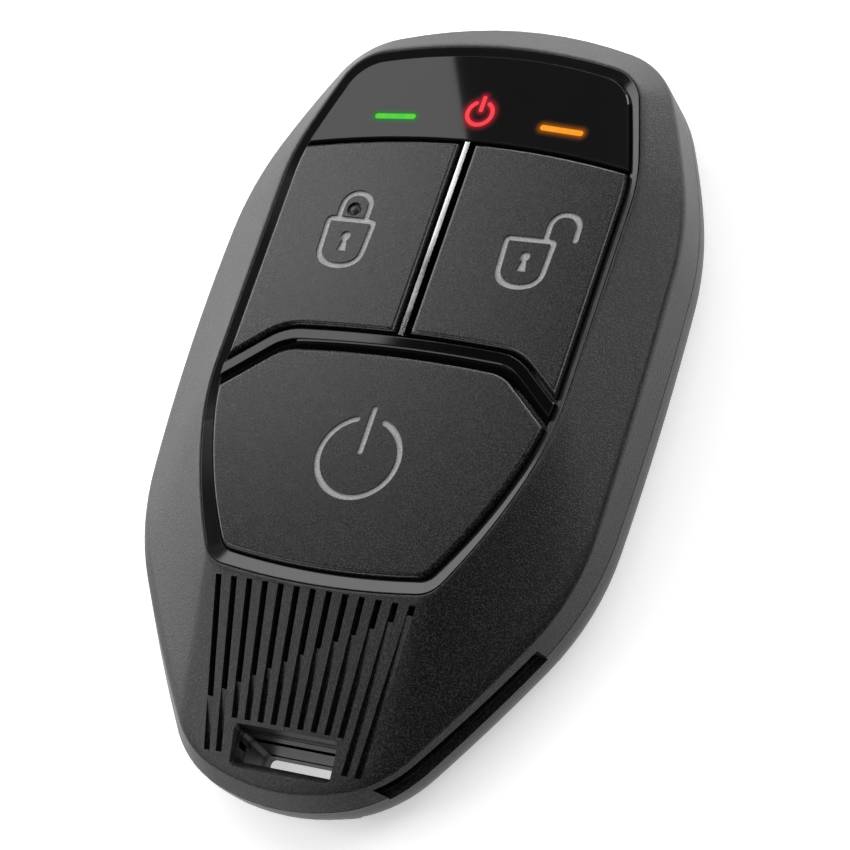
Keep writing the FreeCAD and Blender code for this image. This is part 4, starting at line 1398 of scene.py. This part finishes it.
def glow_bar(name, ends, reach, made):
    """The glow round a lit bar."""
    start, end = (Vector((*p, 0)) for p in ends)
    middle = (start+end)/2
    length = (end-start).length

    def glow_at(x, y):
        p = Vector((x, y, 0))
        along = min(max((p-start).dot(end-start)/length**2, 0), 1)
        return faded((p-start.lerp(end, along)).length-BAR_GLOW_START, reach)

    half = (length/2+BAR_GLOW_MARGINS[0]+reach, BAR_GLOW_MARGINS[1]+reach)
    return glow_sheet(name, (middle.x, middle.y), half, glow_at, made)


def glow_ring(name, reach, made):
    """The glow round the lit power sign."""
    x0, y0 = RED_AT

    def glow_at(x, y):
        ring = abs(math.hypot(x-x0, y-y0)-RED_RADIUS)
        up = min(max(y-y0, RED_BAR[0]), RED_BAR[1])
        bar = math.hypot(x-x0, y-y0-up)
        return faded(min(ring, bar)-RED_GLOW_START, reach)

    half = RED_RADIUS+RED_GLOW_MARGIN+reach
    return glow_sheet(name, (x0, y0+RED_GLOW_SHIFT), (half, half), glow_at, made)


# ---- inside


class REMOTE_OT_inside(bpy.types.Operator):
    """Materials of the board, coin cell, sounder, switches and lamps"""

    bl_idname = "remote.inside"
    bl_label = "Inside"

    def execute(self, context):
        finish = context.scene.remote_finish
        black = material("moulded_black", grained_plastic, (0.02, 0.02, 0.02), 0.3, 0.3)
        chip = material("chip_epoxy", grained_plastic, (0.025, 0.025, 0.027), 0.12, 0.2, (0.5, 0.7), 1.3)
        case = material("sounder_case", grained_plastic, (0.018, 0.018, 0.019), 0.25, 0.15, (0.3, 0.4), 1.2)
        steel = material("switch_steel", worn_metal, (0.60, 0.60, 0.60), 0.3, (1, 6, 1))
        can = material("cell_nickel", worn_metal, (0.66, 0.66, 0.65), 0.22, (1, 1, 8))
        spring = material("spring_brass", worn_metal, (0.72, 0.58, 0.34), 0.25, (6, 1, 1))
        copper = material("tinned_copper", worn_metal, (0.72, 0.45, 0.30), 0.25, (6, 1, 1))
        board = material("board_green", board_laminate)
        for made, names in ((board, ("circuit_board",)), (case, ("sounder",)), (can, ("battery",)),
                            (chip, ("controller_chip", "radio_chip")), (copper, ("antenna_loop",)),
                            (spring, ("battery_positive_contact", "battery_negative_contact",
                                      "sounder_contacts")),
                            (steel, ("lock_switch", "unlock_switch", "power_switch", "crystal")),
                            (black, ("light_baffle", "lock_switch_plunger", "unlock_switch_plunger",
                                     "power_switch_plunger"))):
            for name in names:
                dress(name, made)
        clear = material("guide_acrylic", clear_acrylic)
        for name, colour in (("green", finish.green), ("red", finish.red), ("amber", finish.amber)):
            dress(name+"_light_guide", clear)
            dress(name+"_led", material(name+"_lamp", lit, tuple(colour),
                                        tuple(min(1, c*1.3+0.1) for c in colour), 1.5))
        return {"FINISHED"}


# ---- stage


class REMOTE_OT_stage(bpy.types.Operator):
    """Pale floor, studio panels and the camera"""

    bl_idname = "remote.stage"
    bl_label = "Stage"

    def execute(self, context):
        stage = context.scene.remote_stage
        make_floor(stage)
        make_backdrop(stage)
        make_world(context.scene, stage)
        for name, outline in CARDS:
            make_card(name, outline, getattr(stage, name))
        for name, place, size in LAMPS:
            make_lamp(name, place, size, getattr(stage, name))
        make_camera(context.scene)
        context.scene.view_settings.view_transform = "Standard"
        return {"FINISHED"}


def make_floor(stage):
    """The pale floor, which shows some light of its own to the camera and in the gloss parts."""
    corners = ((-1, -1), (1, -1), (1, 1), (-1, 1))
    floor = new_piece("floor", [(x*FLOOR_HALF, y*FLOOR_HALF, FLOOR_Z) for x, y in corners],
                      [(0, 1, 2, 3)])
    made, tree, shader = new_material("floor_paint")
    cloud = noise(tree, (-700, 0), Scale=8.0)
    tint = tint_node(tree, (-400, 0), times(stage.floor, 0.995), stage.floor)
    seen = node(tree, "ShaderNodeLightPath", (-900, -300))
    either = maths(tree, "ADD", (-650, -300))
    any_way = maths(tree, "ADD", (-450, -300))
    any_way.use_clamp = True
    wire(tree, (cloud, 0, tint, 0), (tint, MIX_RESULT, shader, "Base Color"),
         (seen, "Is Camera Ray", either, 0), (seen, "Is Glossy Ray", either, 1),
         (either, 0, any_way, 0), (seen, "Is Transmission Ray", any_way, 1),
         (any_way, 0, shader, "Emission Color"))
    preset(shader, Roughness=0.9, Specular_IOR_Level=0.0, Emission_Strength=stage.lift)
    floor.data.materials.append(made)


def make_backdrop(stage):
    """A wide white ring behind the floor, which only the camera sees."""
    heights = (FLOOR_Z, BACKDROP_TOP)
    loop = disc_loop(BACKDROP_RADIUS, (0, 0), 96)
    wall = new_piece("backdrop", *skin([at_height(loop, z) for z in heights], True))
    made, _, shader = new_material("backdrop_paint")
    preset(shader, Base_Color=(*stage.floor, 1), Emission_Color=WHITE, Emission_Strength=1.0)
    wall.data.materials.append(made)
    wall.visible_diffuse = False
    wall.visible_glossy = False
    wall.visible_shadow = False


def make_world(scene, stage):
    """Even surroundings, which give no light unless the setting is raised."""
    world = bpy.data.worlds.new("studio")
    scene.world = world
    world.use_nodes = True
    preset(world.node_tree.nodes["Background"], Color=WHITE, Strength=stage.ambient)


def make_card(name, outline, brightness):
    """A bright card over the left, which the gloss parts mirror."""
    card = new_piece(name, [(x, y, CARD_Z) for x, y in outline], [tuple(range(len(outline)))])
    card.data.materials.append(glowing(name+"_white", (1, 1, 1), brightness)[0])
    card.visible_camera = False
    card.visible_shadow = False


def make_lamp(name, place, size, brightness):
    """A rectangular lamp that faces the remote; its brightness is what a mirror would show."""
    lamp = bpy.data.lights.new(name, "AREA")
    lamp.shape = "RECTANGLE"
    lamp.size, lamp.size_y = size
    lamp.energy = brightness*math.pi*size[0]*size[1]
    holder = bpy.data.objects.new(name, lamp)
    bpy.context.scene.collection.objects.link(holder)
    holder.location = place
    aim = Vector(LAMP_AIM)-Vector(place)
    holder.rotation_euler = aim.to_track_quat("-Z", "Y").to_euler()
    holder.visible_camera = False
    holder.visible_glossy = name != "overhead"


def make_camera(scene):
    """The camera that was fitted to the photograph."""
    lens = bpy.data.cameras.new("camera")
    lens.lens = CAMERA_LENS
    lens.sensor_width = SENSOR
    lens.sensor_fit = "HORIZONTAL"
    lens.clip_start = CLIP_START
    camera = bpy.data.objects.new("camera", lens)
    scene.collection.objects.link(camera)
    right = Vector(CAMERA_RIGHT).normalized()
    back = right.cross(Vector(CAMERA_UP)).normalized()
    up = back.cross(right)
    axes = Matrix((right, up, back)).transposed().to_4x4()
    camera.matrix_world = Matrix.Translation(CAMERA_AT) @ axes
    scene.camera = camera


# ---- panel and registration


class REMOTE_PT_build(bpy.types.Panel):
    """Lists the settings and the pieces"""

    bl_idname = "REMOTE_PT_build"
    bl_label = "Car Alarm Remote"
    bl_space_type = "VIEW_3D"
    bl_region_type = "UI"
    bl_category = "Remote"

    def draw(self, context):
        scene = context.scene
        for heading, group in (("Shape", scene.remote_shape), ("Finish", scene.remote_finish),
                               ("Stage", scene.remote_stage)):
            column = self.layout.column(align=True)
            column.label(text=heading)
            for name in group.__annotations__:
                column.prop(group, name)
        column = self.layout.column(align=True)
        column.label(text="Pieces")
        for operator in PIECES:
            column.operator(operator.bl_idname)


PIECES = (REMOTE_OT_stage, REMOTE_OT_front_cover, REMOTE_OT_rear_cover, REMOTE_OT_keys,
          REMOTE_OT_trim, REMOTE_OT_lit_signs, REMOTE_OT_inside)
GROUPS = (("remote_shape", RemoteShape), ("remote_finish", RemoteFinish),
          ("remote_stage", RemoteStage))


def register():
    for name, group in GROUPS:
        bpy.utils.register_class(group)
        setattr(bpy.types.Scene, name, PointerProperty(type=group))
    for made in (*PIECES, REMOTE_PT_build):
        bpy.utils.register_class(made)


def unregister():
    for made in reversed((*PIECES, REMOTE_PT_build)):
        bpy.utils.unregister_class(made)
    for name, group in reversed(GROUPS):
        delattr(bpy.types.Scene, name)
        bpy.utils.unregister_class(group)


def main():
    """Builds every piece."""
    register()
    bpy.ops.remote.stage()
    bpy.ops.remote.front_cover()
    bpy.ops.remote.rear_cover()
    bpy.ops.remote.keys()
    bpy.ops.remote.trim()
    bpy.ops.remote.lit_signs()
    bpy.ops.remote.inside()


if __name__ == "__main__":
    main()
